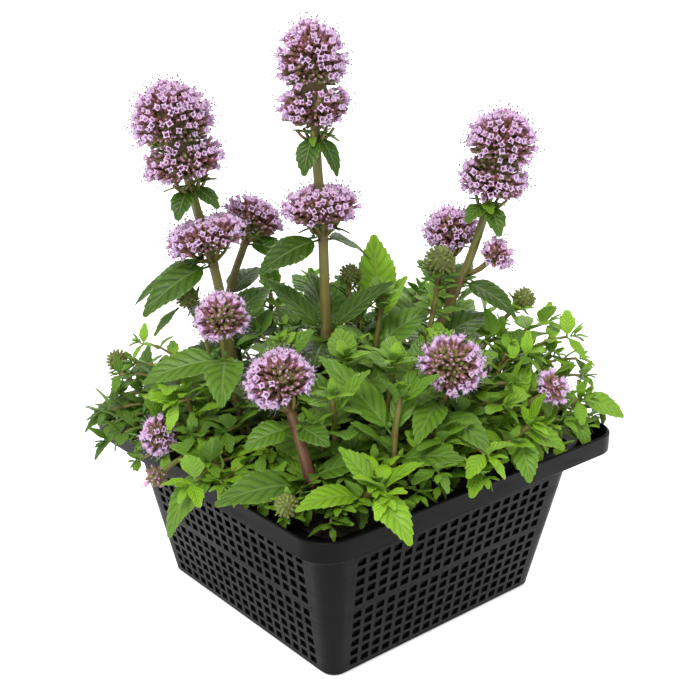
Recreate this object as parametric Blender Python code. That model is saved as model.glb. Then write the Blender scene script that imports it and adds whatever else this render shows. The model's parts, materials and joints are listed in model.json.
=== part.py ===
"""Water mint in flower, growing in a square mesh pond basket.

Lengths are in millimetres until a vertex is made, where MM turns them into metres.  The origin is
the centre of the basket's underside.  The plant is laid out on axes turned PLANT_TURN degrees from
the basket's sides: r runs across, n runs towards the basket's front corner, and z runs up.
"""
import math
import random

import bmesh
import bpy
from mathutils import Vector
from mathutils.bvhtree import BVHTree

MM = 0.001
GAP = 0.3
WELD = 0.002
PLANT_TURN = 50.0

# Basket: outer sides, corner radii and heights
RIM_SIDE = 190.0
RIM_CORNER = 15.0
RIM_TOP = 87.0
RIM_HEIGHT = 9.5
LIP = 1.7
WALL = 1.6
WALL_TOP_SIDE = 162.4
WALL_TOP_CORNER = 11.6
BASE_SIDE = 133.0
BASE_CORNER = 7.3
BASE_CHAMFER = 1.2
FLOOR = 1.8
CORNER_STEPS = 3
MESH_COLUMNS = 7
MESH_ROWS = 4
MESH_PITCH_ACROSS = 16.2
MESH_PITCH_UP = 15.4
MESH_LOWEST = 11.4
MESH_HOLE = (11.0, 10.6)
FLOOR_HOLES = 4
FLOOR_PITCH = 28.0
FLOOR_HOLE = 17.0

# Soil and the holes that the stems stand in
SOIL_TOP = 80.0
SOIL_EDGE_DROP = 3.5
SOIL_EDGE_BAND = 9.0
STEM_FOOT = 72.0
STEM_FIT = 0.35

# Leaves
PETIOLE_SHARE = 0.10
PETIOLE_HALF = 0.7
BLADE_HALF = 0.6
FOLD = 16.0
NOTCH = 0.84
LEAF_CLEARANCE = 0.6
# How far a leaf that grows sideways rolls its face towards the front, where its light comes from
LIGHT_ROLL = 30.0
NODE_HALF = 1.1
NODE_STEP = 3.0
TANGENT_STEP = 1.5

# Flower heads and buds
CORE_SHARE = 0.72
CORE_LIFT = 0.75
SOCKET_DEPTH = 7.0
HEAD_FIT = 0.35
FLORET_TAPER = 0.80
BUD_CORE = 0.66
BUD_POINT = 0.42
BUD_RISE = 0.4

GREEN = (0.10, 0.22, 0.035)
LILAC = (0.46, 0.25, 0.50)
MAUVE_BROWN = (0.24, 0.12, 0.13)

# Stems: points (r, n, z), thickness at the foot and at the top
STEM_A = ([(-52, 6, 80), (-57, 5, 110), (-60, 3, 140), (-65, 2, 168), (-71, 0, 190), (-75, 0, 207)],
          4.2, 3.4)
STEM_B = ([(-60, -10, 80), (-61, -11, 120), (-60, -14, 148), (-54, -23, 167), (-50, -28, 178)],
          3.6, 2.8)
STEM_C = ([(-8, 4, 80), (-11, 2, 115), (-12, 1, 150), (-13, 0, 187), (-15, 0, 212), (-16, 0, 231)],
          4.3, 3.5)
STEM_D = ([(27, 0, 80), (35, 0, 112), (45, 0, 140), (56, 0, 167), (63, 0, 190), (65, 0, 199)],
          3.9, 3.0)
STEM_E = ([(38, -15, 80), (46, -15, 125), (50, -15, 155), (50, -14, 174)], 3.2, 2.6)
STEM_F = ([(31, 12, 80), (36, 11, 125), (40, 10, 150), (42, 10, 169)], 2.6, 1.8)

# Leaves: height of the leaf's node on its branch, tip (r, n, z), width, bend down, roll.
# Branches: (points, thickness at the foot, thickness at the top, leaves, radius of the bud or 0)
SHOOTS = {
    "stem_left_tall": [
        (*STEM_A, [
            (168, (-96, 22, 148), 18, 40, -6), (168, (-112, -10, 158), 14, 30, 0),
            (205, (-77, 15, 192), 12, 35, 0), (205, (-61, 7, 196), 10, 35, 0),
            (138, (-40, -22, 150), 17, 30, 0), (116, (-38, 30, 112), 17, 50, 0),
            (116, (-79, -18, 120), 17, 45, 0)], 0),
        ([(-62, 3, 146), (-70, 7, 149), (-77, 10, 152)], 1.8, 1.6,
         [(150, (-84, 18, 162), 7, 15, 0)], 5.0)],
    "stem_left_short": [
        (*STEM_B, [
            (172, (-30, -22, 164), 15, 45, 0), (172, (-72, -40, 160), 13, 45, 0),
            (148, (-52, -38, 164), 16, 20, 0), (125, (-84, -24, 143), 15, 35, 0),
            (125, (-38, -30, 126), 16, 35, 0)], 0)],
    "stem_centre_tall": [
        (*STEM_C, [
            (180, (-42, 20, 168), 17, 30, -8), (180, (10, -20, 165), 15, 40, 0),
            (229, (-21, 12, 212), 12, 35, 0), (229, (-6, 8, 211), 10, 35, 0),
            (135, (-38, 2, 166), 16, 12, -8), (135, (21, 4, 160), 15, 15, 8),
            (133, (-17, 32, 126), 21, 50, 0), (135, (-20, -30, 156), 16, 20, 0),
            (106, (-34, -12, 128), 17, 30, 0), (106, (16, 20, 112), 17, 40, 0)], 0)],
    "stem_right_tall": [
        (*STEM_D, [
            (197, (54, 10, 190), 10, 35, 0), (197, (69, 13, 184), 11, 35, 0),
            (160, (78, 16, 146), 14, 35, 0), (158, (46, -28, 160), 14, 35, 0),
            (128, (72, -18, 137), 17, 35, 0), (128, (30, 30, 132), 15, 35, 0),
            (104, (62, 8, 104), 16, 40, 0)], 0),
        ([(56, 0, 163), (61, 1, 165), (66, 3, 170)], 2.2, 2.0, [], 0)],
    "stem_right_short": [
        (*STEM_E, [
            (150, (62, -34, 160), 13, 30, 0), (150, (34, -30, 162), 12, 30, 0),
            (118, (70, -32, 118), 16, 40, 0), (118, (24, -40, 126), 16, 35, 0)], 0)],
    "stem_budding": [
        (*STEM_F, [
            (147, (53, 16, 150), 5, 15, 0), (147, (30, 15, 152), 5, 15, 0),
            (158, (50, 14, 165), 4, 15, 0), (158, (33, 13, 166), 4, 15, 0)], 7.0)],
    "stem_front_left": [
        ([(-46, 40, 80), (-51, 41, 110), (-56, 41, 135), (-57, 42, 147)], 3.4, 3.0, [
            (134, (-94, 47, 124), 17, 30, -6), (134, (-55, 76, 124), 19, 60, 0),
            (112, (-70, 20, 120), 15, 30, 0), (112, (-32, 62, 118), 15, 40, 0)], 0)],
    "stem_front_centre": [
        ([(-13, 84, 80), (-16, 88, 92), (-20, 86, 108), (-25, 81, 124), (-27, 80, 130)], 4.2, 3.6, [
            (118, (-44, 92, 112), 14, 35, 0), (118, (-9, 99, 116), 13, 30, 0),
            (94, (-56, 105, 92), 18, 35, 0), (94, (8, 96, 108), 14, 20, 0)], 0)],
    "stem_front_right": [
        ([(30, 52, 80), (35, 54, 100), (41, 55, 120), (43, 59, 131)], 3.4, 3.0, [
            (120, (28, 85, 111), 15, 40, 0), (114, (60, 78, 104), 15, 40, 0),
            (98, (67, 48, 112), 16, 30, 0), (96, (28, 84, 92), 15, 30, 0)], 0)],
    "shoot_front_middle": [
        ([(15, 74, 80), (18, 78, 95), (19, 77, 112), (21, 74, 128)], 3.0, 2.0, [
            (104, (0, 93, 124), 15, 15, 0), (100, (48, 92, 107), 14, 30, 0),
            (112, (-14, 62, 143), 17, 15, 0), (112, (28, 58, 156), 17, 10, 0),
            (126, (38, 76, 140), 10, 15, 0), (126, (12, 84, 141), 10, 15, 0)], 0)],
    "shoot_back_middle": [
        ([(13, -30, 80), (14, -31, 110), (14, -30, 137)], 2.8, 2.0, [
            (138, (12, -37, 174), 22, 8, 0), (130, (30, -44, 150), 12, 30, 0),
            (108, (-12, -48, 116), 17, 40, 0), (108, (36, -14, 116), 16, 40, 0)], 0)],
    "shoot_front_corner": [
        ([(2, 89, 80), (5, 98, 92), (10, 107, 101)], 2.6, 2.0, [
            (93, (-22, 118, 96), 13, 45, 0), (98, (24, 124, 84), 14, 55, 0),
            (102, (-5, 104, 118), 13, 10, 0), (99, (30, 106, 112), 13, 20, 0),
            (100, (10, 118, 112), 9, 20, 0)], 0)],
    "shoot_front_edge": [
        ([(-24, 82, 80), (-25, 95, 91), (-26, 108, 92)], 2.0, 1.6,
         [(89, (-38, 106, 100), 8, 20, 0), (89, (-12, 112, 84), 7, 20, 0)], 4.6)],
    "shoot_left_hanging": [
        ([(-46, 54, 80), (-54, 65, 90), (-61, 74, 97)], 2.8, 2.0, [
            (93, (-79, 84, 66), 15, 70, 0), (92, (-80, 66, 102), 14, 25, 0),
            (98, (-58, 82, 113), 12, 10, 0), (90, (-44, 86, 88), 14, 35, 0)], 0)],
    "shoot_left_bright": [
        ([(-64, 32, 80), (-71, 42, 102), (-74, 48, 119)], 2.2, 1.8, [
            (120, (-77, 49, 140), 12, 10, 0), (114, (-93, 52, 120), 9, 25, 0),
            (112, (-58, 60, 118), 10, 25, 0), (102, (-60, 40, 110), 10, 25, 0)], 0),
        ([(-69, 40, 94), (-76, 43, 96), (-82, 45, 98)], 1.8, 1.8, [], 0)],
    "shoot_left_corner": [
        ([(-80, 6, 80), (-90, 6, 92), (-103, 3, 103), (-114, 0, 117)], 2.4, 1.8, [
            (98, (-131, 8, 84), 14, 75, 0), (96, (-107, 28, 84), 15, 40, 0),
            (104, (-100, -10, 124), 9, 15, 0), (106, (-116, 14, 104), 8, 30, 0)], 5.0)],
    "shoot_left_low": [
        ([(-60, 40, 80), (-67, 52, 91), (-75, 60, 94), (-83, 66, 90)], 2.0, 1.8,
         [(91, (-86, 44, 94), 9, 30, 0)], 0)],
    "shoot_right_hanging": [
        ([(60, 40, 80), (72, 46, 94), (81, 50, 105)], 2.4, 1.8, [
            (99, (80, 66, 84), 13, 60, 0), (99, (98, 54, 98), 12, 40, 0),
            (94, (66, 62, 108), 12, 30, 0), (106, (88, 50, 121), 10, 10, 0)], 0)],
    "shoot_right_corner": [
        ([(84, 10, 82), (96, 8, 93), (114, 6, 101)], 2.6, 2.0, [
            (102, (135, 8, 92), 15, 35, 0), (97, (117, 24, 78), 13, 60, 0),
            (92, (108, -12, 104), 14, 25, 0), (99, (108, 2, 120), 10, 10, 0)], 0)],
    "shoot_right_flowering": [
        ([(62, 24, 80), (70, 32, 100), (84, 37, 112), (89, 38, 116)], 2.4, 1.8, [
            (104, (86, 20, 124), 12, 25, 0), (104, (64, 46, 96), 12, 30, 0)], 0)],
    "shoot_right_budding": [
        ([(60, -14, 80), (66, -11, 120), (76, -8, 138), (85, -6, 147)], 2.2, 1.6, [
            (126, (88, 6, 130), 11, 30, 0), (126, (62, -26, 136), 11, 30, 0),
            (142, (90, 4, 154), 5, 15, 0)], 5.0)],
    "shoot_centre_budding": [
        ([(-2, -20, 80), (-2, -21, 120), (0, -21, 155)], 2.0, 1.6, [
            (118, (-26, -40, 134), 15, 25, 0), (118, (20, -8, 132), 13, 25, 0),
            (146, (-8, -14, 156), 5, 15, 0), (146, (8, -20, 157), 5, 15, 0)], 5.0)],
    "shoot_back_bright": [
        ([(-40, -42, 80), (-41, -41, 120), (-41, -40, 142)], 2.4, 1.8, [
            (143, (-41, -38, 160), 12, 8, 0), (134, (-60, -38, 140), 11, 25, 0),
            (134, (-24, -42, 141), 11, 25, 0), (118, (-50, -62, 126), 15, 30, 0),
            (118, (-30, -20, 128), 14, 25, 0)], 0)],
}

# Fill shoots: spread by rule over the soil where no named stem stands
FILL_SHOOTS = 13
FILL_SEED = 41
FILL_REACH = 98.0
FILL_SPACING = 15.0
FILL_HEIGHT = (34.0, 68.0)
FILL_TURN = math.radians(137.5)
FILL_RINGS = 61
FILL_THICKNESS = (2.6, 1.8)
# Each pair's share of the shoot's height, length, lift and bend
FILL_PAIRS = ((0.36, 33, 12, 38), (0.64, 31, 26, 28), (0.92, 20, 40, 20))
FILL_LEAF_WIDTH = 0.64

# Flower heads: kind, shoot, branch, whole radius, height, segments round
HEADS = {
    "head_left_tall": ("tall", "stem_left_tall", 0, 20.0, 48.0, 8),
    "head_centre_tall": ("tall", "stem_centre_tall", 0, 17.5, 50.0, 8),
    "head_right_tall": ("tall", "stem_right_tall", 0, 17.5, 43.0, 8),
    "head_left_short": ("dome", "stem_left_short", 0, 16.0, 17.0, 7),
    "head_right_short": ("dome", "stem_right_short", 0, 14.5, 19.0, 7),
    "head_right_side": ("dome", "stem_right_tall", 1, 9.5, 13.0, 6),
    "head_front_left": ("dome", "stem_front_left", 0, 13.0, 19.0, 7),
    "head_front_centre": ("dome", "stem_front_centre", 0, 15.5, 22.0, 8),
    "head_front_right": ("dome", "stem_front_right", 0, 15.3, 22.0, 8),
    "head_left_low": ("dome", "shoot_left_bright", 1, 11.0, 15.0, 6),
    "head_left_fading": ("dome", "shoot_left_low", 0, 8.0, 11.0, 6),
    "head_right_low": ("dome", "shoot_right_flowering", 0, 9.0, 13.0, 6),
}
# Whorls that a stem passes through: stem, height of the middle, whole radius, height, segments
WHORLS = {
    "whorl_left": ("stem_left_tall", 182.0, 20.5, 15.0, 9),
    "whorl_centre": ("stem_centre_tall", 196.0, 19.0, 17.0, 9),
}
HEAD_COLOURS = {"head_left_fading": MAUVE_BROWN}


# ---------------------------------------------------------------- frames and materials

def to_world(r, n, z):
    """A point of the plant's own axes in the basket's frame, still in millimetres."""
    turn = math.radians(PLANT_TURN)
    return Vector((r * math.cos(turn) + n * math.sin(turn),
                   r * math.sin(turn) - n * math.cos(turn), z))


def principled(name, colour, roughness):
    material = bpy.data.materials.new(name)
    material.use_nodes = True
    shader = material.node_tree.nodes["Principled BSDF"]
    shader.inputs["Base Color"].default_value = (*colour, 1.0)
    shader.inputs["Roughness"].default_value = roughness
    shader.inputs["Metallic"].default_value = 0.0
    return material


def make_mesh(name, points, faces):
    """A mesh from points in millimetres, with every face turned outwards."""
    bm = bmesh.new()
    vertices = [bm.verts.new(Vector(point) * MM) for point in points]
    for face in faces:
        bm.faces.new([vertices[i] for i in face])
    bmesh.ops.remove_doubles(bm, verts=bm.verts, dist=WELD * MM)
    bmesh.ops.recalc_face_normals(bm, faces=bm.faces)
    mesh = bpy.data.meshes.new(name)
    bm.to_mesh(mesh)
    bm.free()
    return mesh


def add_object(name, mesh, material=None):
    item = bpy.data.objects.new(name, mesh)
    bpy.context.scene.collection.objects.link(item)
    if material:
        mesh.materials.clear()
        mesh.materials.append(material)
    return item


# ---------------------------------------------------------------- basket and soil

def rounded_square(half, corner, z):
    """Points round a square with rounded corners, counter-clockwise."""
    points = []
    for quarter in range(4):
        start = math.pi / 2 * quarter
        centre = half - corner
        cx = centre * (1 if quarter in (0, 3) else -1)
        cy = centre * (1 if quarter in (0, 1) else -1)
        for step in range(CORNER_STEPS + 1):
            angle = start + math.pi / 2 * step / CORNER_STEPS
            points.append((cx + corner * math.cos(angle), cy + corner * math.sin(angle), z))
    return points


def stack(name, loops):
    """A closed solid through a stack of loops, capped at both ends."""
    count = len(loops[0])
    points = [point for loop in loops for point in loop]
    faces = [list(range(count))[::-1]]
    for level in range(len(loops) - 1):
        for i in range(count):
            j = (i + 1) % count
            low = level * count
            faces.append([low + i, low + j, low + count + j, low + count + i])
    faces.append([(len(loops) - 1) * count + i for i in range(count)])
    return make_mesh(name, points, faces)


def cutter(name, prisms, target):
    """One object of four-sided prisms, (outline, bottom, top), taken from the target."""
    points = []
    faces = []
    for outline, bottom, top in prisms:
        first = len(points)
        points.extend([(x, y, z) for z in (bottom, top) for x, y in outline])
        for face in ((0, 3, 2, 1), (4, 5, 6, 7), (0, 1, 5, 4), (1, 2, 6, 5), (2, 3, 7, 6), (3, 0, 4, 7)):
            faces.append([first + i for i in face])
    item = add_object(name, make_mesh(name, points, faces))
    item.hide_render = True
    item.display_type = "WIRE"
    cut = target.modifiers.new(name, "BOOLEAN")
    cut.operation = "DIFFERENCE"
    cut.object = item


def rectangle(x_low, x_high, y_low, y_high):
    return [(x_low, y_low), (x_high, y_low), (x_high, y_high), (x_low, y_high)]


def side_holes(along_x):
    """Prisms through two facing walls: the columns and rows of the mesh."""
    half_across = MESH_HOLE[0] / 2
    half_up = MESH_HOLE[1] / 2
    prisms = []
    for column in range(MESH_COLUMNS):
        middle = (column - (MESH_COLUMNS - 1) / 2) * MESH_PITCH_ACROSS
        for row in range(MESH_ROWS):
            z = MESH_LOWEST + row * MESH_PITCH_UP
            outline = rectangle(-RIM_SIDE, RIM_SIDE, middle - half_across, middle + half_across)
            if not along_x:
                outline = [(-y, x) for x, y in outline]
            prisms.append((outline, z - half_up, z + half_up))
    return prisms


def floor_holes():
    half = FLOOR_HOLE / 2
    places = [(i - (FLOOR_HOLES - 1) / 2) * FLOOR_PITCH for i in range(FLOOR_HOLES)]
    return [(rectangle(x - half, x + half, y - half, y + half), -FLOOR, 2 * FLOOR)
            for x in places for y in places]


def inner_half(z):
    """Half the clear width between the walls at a height."""
    share = z / (RIM_TOP - RIM_HEIGHT)
    return (BASE_SIDE + (WALL_TOP_SIDE - BASE_SIDE) * share) / 2 - WALL


def make_basket():
    shelf = RIM_TOP - RIM_HEIGHT
    rim = RIM_SIDE / 2
    loops = [
        rounded_square(BASE_SIDE / 2 - BASE_CHAMFER, BASE_CORNER - BASE_CHAMFER, 0.0),
        rounded_square(BASE_SIDE / 2, BASE_CORNER, BASE_CHAMFER),
        rounded_square(WALL_TOP_SIDE / 2, WALL_TOP_CORNER, shelf),
        rounded_square(rim, RIM_CORNER, shelf),
        rounded_square(rim, RIM_CORNER, RIM_TOP),
        rounded_square(rim - LIP, RIM_CORNER - LIP, RIM_TOP),
        rounded_square(rim - LIP, RIM_CORNER - LIP, shelf + WALL),
        rounded_square(inner_half(shelf), WALL_TOP_CORNER - WALL, shelf + WALL),
        rounded_square(inner_half(0.0), BASE_CORNER - WALL, FLOOR)]
    plastic = principled("basket_plastic", (0.012, 0.013, 0.014), 0.42)
    basket = add_object("basket", stack("basket", loops), plastic)
    cutter("cut_walls_x", side_holes(True), basket)
    cutter("cut_walls_y", side_holes(False), basket)
    cutter("cut_floor", floor_holes(), basket)
    return basket


def make_soil():
    """Soil that fills the basket."""
    floor = FLOOR + GAP
    edge = SOIL_TOP - SOIL_EDGE_DROP
    corner = BASE_CORNER - WALL
    loops = [
        rounded_square(inner_half(0.0) - GAP, corner, floor),
        rounded_square(inner_half(edge) - 2 * GAP, WALL_TOP_CORNER - WALL, edge),
        rounded_square(inner_half(edge) - SOIL_EDGE_BAND, corner, SOIL_TOP)]
    return add_object("soil", stack("soil", loops), principled("soil", (0.05, 0.032, 0.02), 0.95))


def cut_stem_holes(soil, feet):
    """A plain square hole in the soil for each stem's lowest cross-section."""
    prisms = []
    for corners in feet:
        middle = sum(corners, Vector()) / 4
        outline = []
        for corner in corners:
            arm = corner - middle
            wider = middle + arm * (1 + STEM_FIT * math.sqrt(2) / arm.length)
            outline.append((wider.x, wider.y))
        prisms.append((outline, STEM_FOOT - GAP, SOIL_TOP + 5.0))
    cutter("cut_stem_holes", prisms, soil)


# ---------------------------------------------------------------- stems

def smooth(points, steps):
    """A Catmull-Rom curve through the points."""
    padded = [points[0] * 2 - points[1], *points, points[-1] * 2 - points[-2]]
    curve = []
    for i in range(1, len(padded) - 2):
        a, b, c, d = padded[i - 1:i + 3]
        for step in range(steps):
            t = step / steps
            curve.append(0.5 * (2 * b + (c - a) * t + (2 * a - 5 * b + 4 * c - d) * t * t
                                + (3 * b - a - 3 * c + d) * t ** 3))
    curve.append(points[-1])
    return curve


def branch_curve(branch, is_main, peg, steps):
    """The branch's middle line; a main stem goes straight down into its hole first.

    A branch that bears a head ends in a straight peg, which stands in the head's socket.
    """
    points = smooth([to_world(*point) for point in branch[0]], steps)
    if is_main:
        points.insert(0, Vector((points[0].x, points[0].y, STEM_FOOT)))
    if peg:
        points.append(points[-1] + (points[-1] - points[-2]).normalized() * peg)
    return points


def peg_length(shoot, number):
    """How far a branch reaches into the head on it, or 0 where it bears none."""
    for _, owner, branch, radius, height, _ in HEADS.values():
        if owner == shoot and branch == number:
            return socket_depth(radius, height) - GAP
    return 0.0


def socket_depth(radius, height):
    return min(SOCKET_DEPTH, core_top(radius, height) * 0.5)


def core_top(radius, height):
    """Height of a head's core, inside its florets."""
    return height - radius * (1 - CORE_SHARE) * CORE_LIFT


def half_diagonal(thickness, segments):
    """Radius of a socket of so many sides that a square stem fits in."""
    return (thickness / math.sqrt(2) + HEAD_FIT) / math.cos(math.pi / segments)


class Stem:
    """A square stem along a curve, whose faces leaves grow out of."""

    def __init__(self, curve, thick_foot, thick_top):
        self.curve = curve
        self.thickness = (thick_foot, thick_top)
        self.reach = [0.0]
        for low, high in zip(curve, curve[1:]):
            self.reach.append(self.reach[-1] + (high - low).length)

    def at(self, reach):
        """The point of the middle line at a distance along it."""
        for i in range(len(self.curve) - 1):
            if self.reach[i + 1] >= reach:
                share = (reach - self.reach[i]) / (self.reach[i + 1] - self.reach[i])
                return self.curve[i].lerp(self.curve[i + 1], share)
        return self.curve[-1].copy()

    def along(self, reach):
        """The direction of the middle line at a distance along it."""
        low = self.at(max(reach - TANGENT_STEP, 0.0))
        high = self.at(min(reach + TANGENT_STEP, self.reach[-1]))
        return (high - low).normalized()

    def reach_at_height(self, z):
        for i, (low, high) in enumerate(zip(self.curve, self.curve[1:])):
            if high.z >= z:
                share = max((z - low.z) / max(high.z - low.z, 1e-6), 0.0)
                return self.reach[i] + share * (self.reach[i + 1] - self.reach[i])
        return self.reach[-1]

    def at_height(self, z):
        return self.at(self.reach_at_height(z))

    def half(self, reach):
        """Half the stem's thickness at a distance along it."""
        foot, top = self.thickness
        return (foot + (top - foot) * reach / self.reach[-1]) / 2

    def root(self, height, tip):
        """Where a leaf leaves the stem's surface, on the side of its tip."""
        if height >= self.curve[-1].z:
            return self.curve[-1].copy()
        reach = self.reach_at_height(height)
        middle = self.at(reach)
        along = self.along(reach)
        out = tip - middle
        out = (out - along * out.dot(along)).normalized()
        return middle + out * self.half(reach)

    def side_angle(self, height, point):
        """The way from the middle line to a point, as an angle round the stem."""
        reach = self.reach_at_height(height)
        first, second = cross_axes(self.along(reach))
        out = point - self.at(reach)
        return math.atan2(out.dot(second), out.dot(first))

    def rings(self, leaves=(), extra=0.0):
        """Square cross-sections, with a pair about each leafy node turned to face its leaves."""
        facing = {}
        for height, placed in leaves:
            if height < self.curve[-1].z:
                facing.setdefault(height, []).append(self.side_angle(height, placed.root))
        stations = []
        middles = [self.reach_at_height(z) for z in facing]
        for reach, z in zip(middles, facing):
            stations.extend([(reach - NODE_HALF, z, True), (reach + NODE_HALF, z, False)])
        for reach in self.reach:
            if all(abs(reach - middle) > 2.2 * NODE_HALF for middle in middles):
                stations.append((reach, None, False))
        stations.sort(key=lambda station: station[0])
        turn = face_turn(facing[min(facing)], 0.0) if facing else 0.0
        rings = []
        for reach, z, opens in stations:
            if z is not None:
                turn = face_turn(facing[z], turn)
            first, second = cross_axes(self.along(reach))
            side = first * math.cos(turn + math.pi / 4) + second * math.sin(turn + math.pi / 4)
            other = second * math.cos(turn + math.pi / 4) - first * math.sin(turn + math.pi / 4)
            arm = (self.half(reach) + extra) * math.sqrt(2)
            middle = self.at(reach)
            corners = [middle + side * arm, middle + other * arm, middle - side * arm, middle - other * arm]
            rings.append((corners, z if opens else None))
        return rings

    def solid(self, leaves=(), extra=0.0):
        """Points and faces of the stem with its leaves, (height, leaf), as one closed surface."""
        rings = self.rings(leaves, extra)
        taken = set()
        parts = []
        for height, placed in leaves:
            face, corners = free_face(rings, height, placed.root - self.at_height(height), taken)
            taken.add(face)
            parts.append(placed.solid(best_order(corners, placed)))
        points = [corner for corners, _ in rings for corner in corners]
        faces = [[0, 2, 1], [0, 3, 2]]
        for i in range(1, len(rings)):
            low = 4 * i - 4
            for k in range(4):
                if (i - 1, k) not in taken:
                    j = (k + 1) % 4
                    faces.extend([[low + k, low + j, low + 4 + j], [low + k, low + 4 + j, low + 4 + k]])
        last = len(points) - 4
        if "top" not in taken:
            faces.extend([[last, last + 1, last + 2], [last, last + 2, last + 3]])
        for part_points, part_faces in parts:
            faces.extend([[len(points) + i for i in face] for face in part_faces])
            points.extend(part_points)
        return points, faces


def cross_axes(along):
    """Two directions across a stem that runs a given way."""
    first = (Vector((1.0, 0.0, 0.0)) - along * along.x).normalized()
    return first, along.cross(first)


def face_turn(angles, near):
    """The turn of a square whose faces best meet the leaves' angles, nearest to a given turn."""
    across = sum(math.sin(4 * angle) for angle in angles)
    turn = math.atan2(across, sum(math.cos(4 * angle) for angle in angles)) / 4
    return turn + math.pi / 2 * round((near - turn) / (math.pi / 2))


def free_face(rings, height, direction, taken):
    """The free face of a node that looks most nearly a way, and its corners seen from outside."""
    number = next((i for i, (_, z) in enumerate(rings) if z == height), None)
    if number is None:
        return "top", rings[-1][0]
    low, high = rings[number][0], rings[number + 1][0]
    best = None
    for k in range(4):
        j = (k + 1) % 4
        out = low[k] + low[j] - low[(k + 2) % 4] - low[(k + 3) % 4]
        score = out.normalized().dot(direction)
        if (number, k) not in taken and (best is None or score > best[0]):
            best = (score, k, j)
    _, k, j = best
    return (number, k), [low[j], high[j], high[k], low[k]]


def best_order(corners, placed):
    """The corners started where the leaf's left, top, right and bottom lie nearest to them."""
    middle, across, up = placed.frame(0.0)
    wanted = [middle + across, middle + up, middle - across, middle - up]
    orders = [corners[i:] + corners[:i] for i in range(4)]
    return min(orders, key=lambda order: sum((a - b).length for a, b in zip(order, wanted)))


def as_world(place):
    return place if isinstance(place, Vector) else to_world(*place)


# ---------------------------------------------------------------- leaves

def half_width(u):
    """Half the width of a mint leaf, as a share, at a share u along its blade."""
    return math.sin(math.pi * u ** 0.66) ** 0.85 if 0.0 < u < 1.0 else 0.0


def margin_stations(teeth):
    """Saw teeth that point forwards: (share along the blade, share of the half width)."""
    stations = []
    step = 0.80 / teeth
    for tooth in range(teeth):
        start = 0.10 + tooth * step
        if tooth:
            stations.append((start, NOTCH))
        stations.append((start + 0.72 * step, 1.0))
    return stations


class Leaf:
    """An arched, folded, toothed leaf from its root and tip; grow thickens it all round."""

    def __init__(self, root, tip, width, bend, roll, grow=0.0):
        chord = tip - root
        self.root = root
        self.tip = tip
        self.bend = math.radians(max(bend, 1.0))
        self.length = chord.length * (self.bend / 2) / math.sin(self.bend / 2)
        heading = math.atan2(chord.y, chord.x)
        self.lift = math.atan2(chord.z, math.hypot(chord.x, chord.y)) + self.bend / 2
        self.ahead = Vector((math.cos(heading), math.sin(heading), 0.0))
        self.across = Vector((-math.sin(heading), math.cos(heading), 0.0))
        self.width = width
        self.roll = math.radians(roll)
        self.grow = grow
        self.teeth = 2 if self.length < 26 else (3 if self.length < 38 else 4)

    def frame(self, t):
        """Middle, sideways and upward directions of the blade at a share t of the length."""
        angle = self.lift - self.bend * t
        run = (math.sin(self.lift) - math.sin(angle)) / self.bend
        rise = (math.cos(angle) - math.cos(self.lift)) / self.bend
        middle = self.root + (self.ahead * run + Vector((0, 0, rise))) * self.length
        along = self.ahead * math.cos(angle) + Vector((0, 0, math.sin(angle)))
        up = along.cross(self.across)
        across = self.across * math.cos(self.roll) + up * math.sin(self.roll)
        return middle, across, along.cross(across)

    def margin(self):
        stations = [(0.0, PETIOLE_HALF), (PETIOLE_SHARE, PETIOLE_HALF)]
        for u, share in margin_stations(self.teeth):
            t = PETIOLE_SHARE + u * (1 - PETIOLE_SHARE)
            stations.append((t, share * half_width(u) * self.width / 2))
        return stations

    def solid(self, root_corners=None):
        """Points and faces.  With the four corners of a stem's face, the root is left open on them."""
        ribs = [0.0, PETIOLE_SHARE, 0.48] if self.teeth < 4 else [0.0, PETIOLE_SHARE, 0.38, 0.66]
        margin = self.margin()
        fold = math.radians(FOLD)
        points = []
        for t in ribs:
            middle, _, up = self.frame(t)
            thick = (BLADE_HALF if t > PETIOLE_SHARE else PETIOLE_HALF) + self.grow
            points.extend([middle + up * thick, middle - up * thick])
        first_margin = len(points)
        for t, half in margin:
            middle, across, up = self.frame(t)
            lifted = half * math.sin(fold) if t > PETIOLE_SHARE else 0.0
            for sign in (1, -1):
                points.append(middle + across * (half * math.cos(fold) + self.grow) * sign + up * lifted)
        points.append(self.frame(1.0)[0] + self.ahead * self.grow)
        faces = []
        for side in (0, 1):
            for face in (0, 1):
                faces.extend(zip_faces(ribs, margin, side, face, first_margin))
        if root_corners:
            for index, corner in zip((first_margin, 0, first_margin + 1, 1), root_corners):
                points[index] = corner
        else:
            faces.extend([[0, first_margin, 1], [0, 1, first_margin + 1]])
        return points, faces

    def blade(self):
        """The leaf's faces that don't touch its root."""
        points, faces = self.solid()
        first_margin = 2 * (3 if self.teeth < 4 else 4)
        root = {0, 1, first_margin, first_margin + 1}
        return points, [face for face in faces if not root.intersection(face)]


def zip_faces(ribs, margin, side, face, first_margin):
    """Triangles between the midrib and one margin, alike on both faces of the leaf."""
    tip = first_margin + 2 * len(margin)
    i = 0
    j = 0
    faces = []
    while i < len(ribs) - 1 or j < len(margin) - 1:
        rib = 2 * i + face
        edge = first_margin + 2 * j + side
        next_rib = ribs[i + 1] if i < len(ribs) - 1 else 2.0
        next_edge = margin[j + 1][0] if j < len(margin) - 1 else 2.0
        if next_rib <= next_edge:
            i += 1
            faces.append([rib, edge, 2 * i + face])
        else:
            j += 1
            faces.append([rib, edge, first_margin + 2 * j + side])
    faces.append([2 * i + face, first_margin + 2 * j + side, tip])
    return faces


# ---------------------------------------------------------------- buds and flower heads

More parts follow.
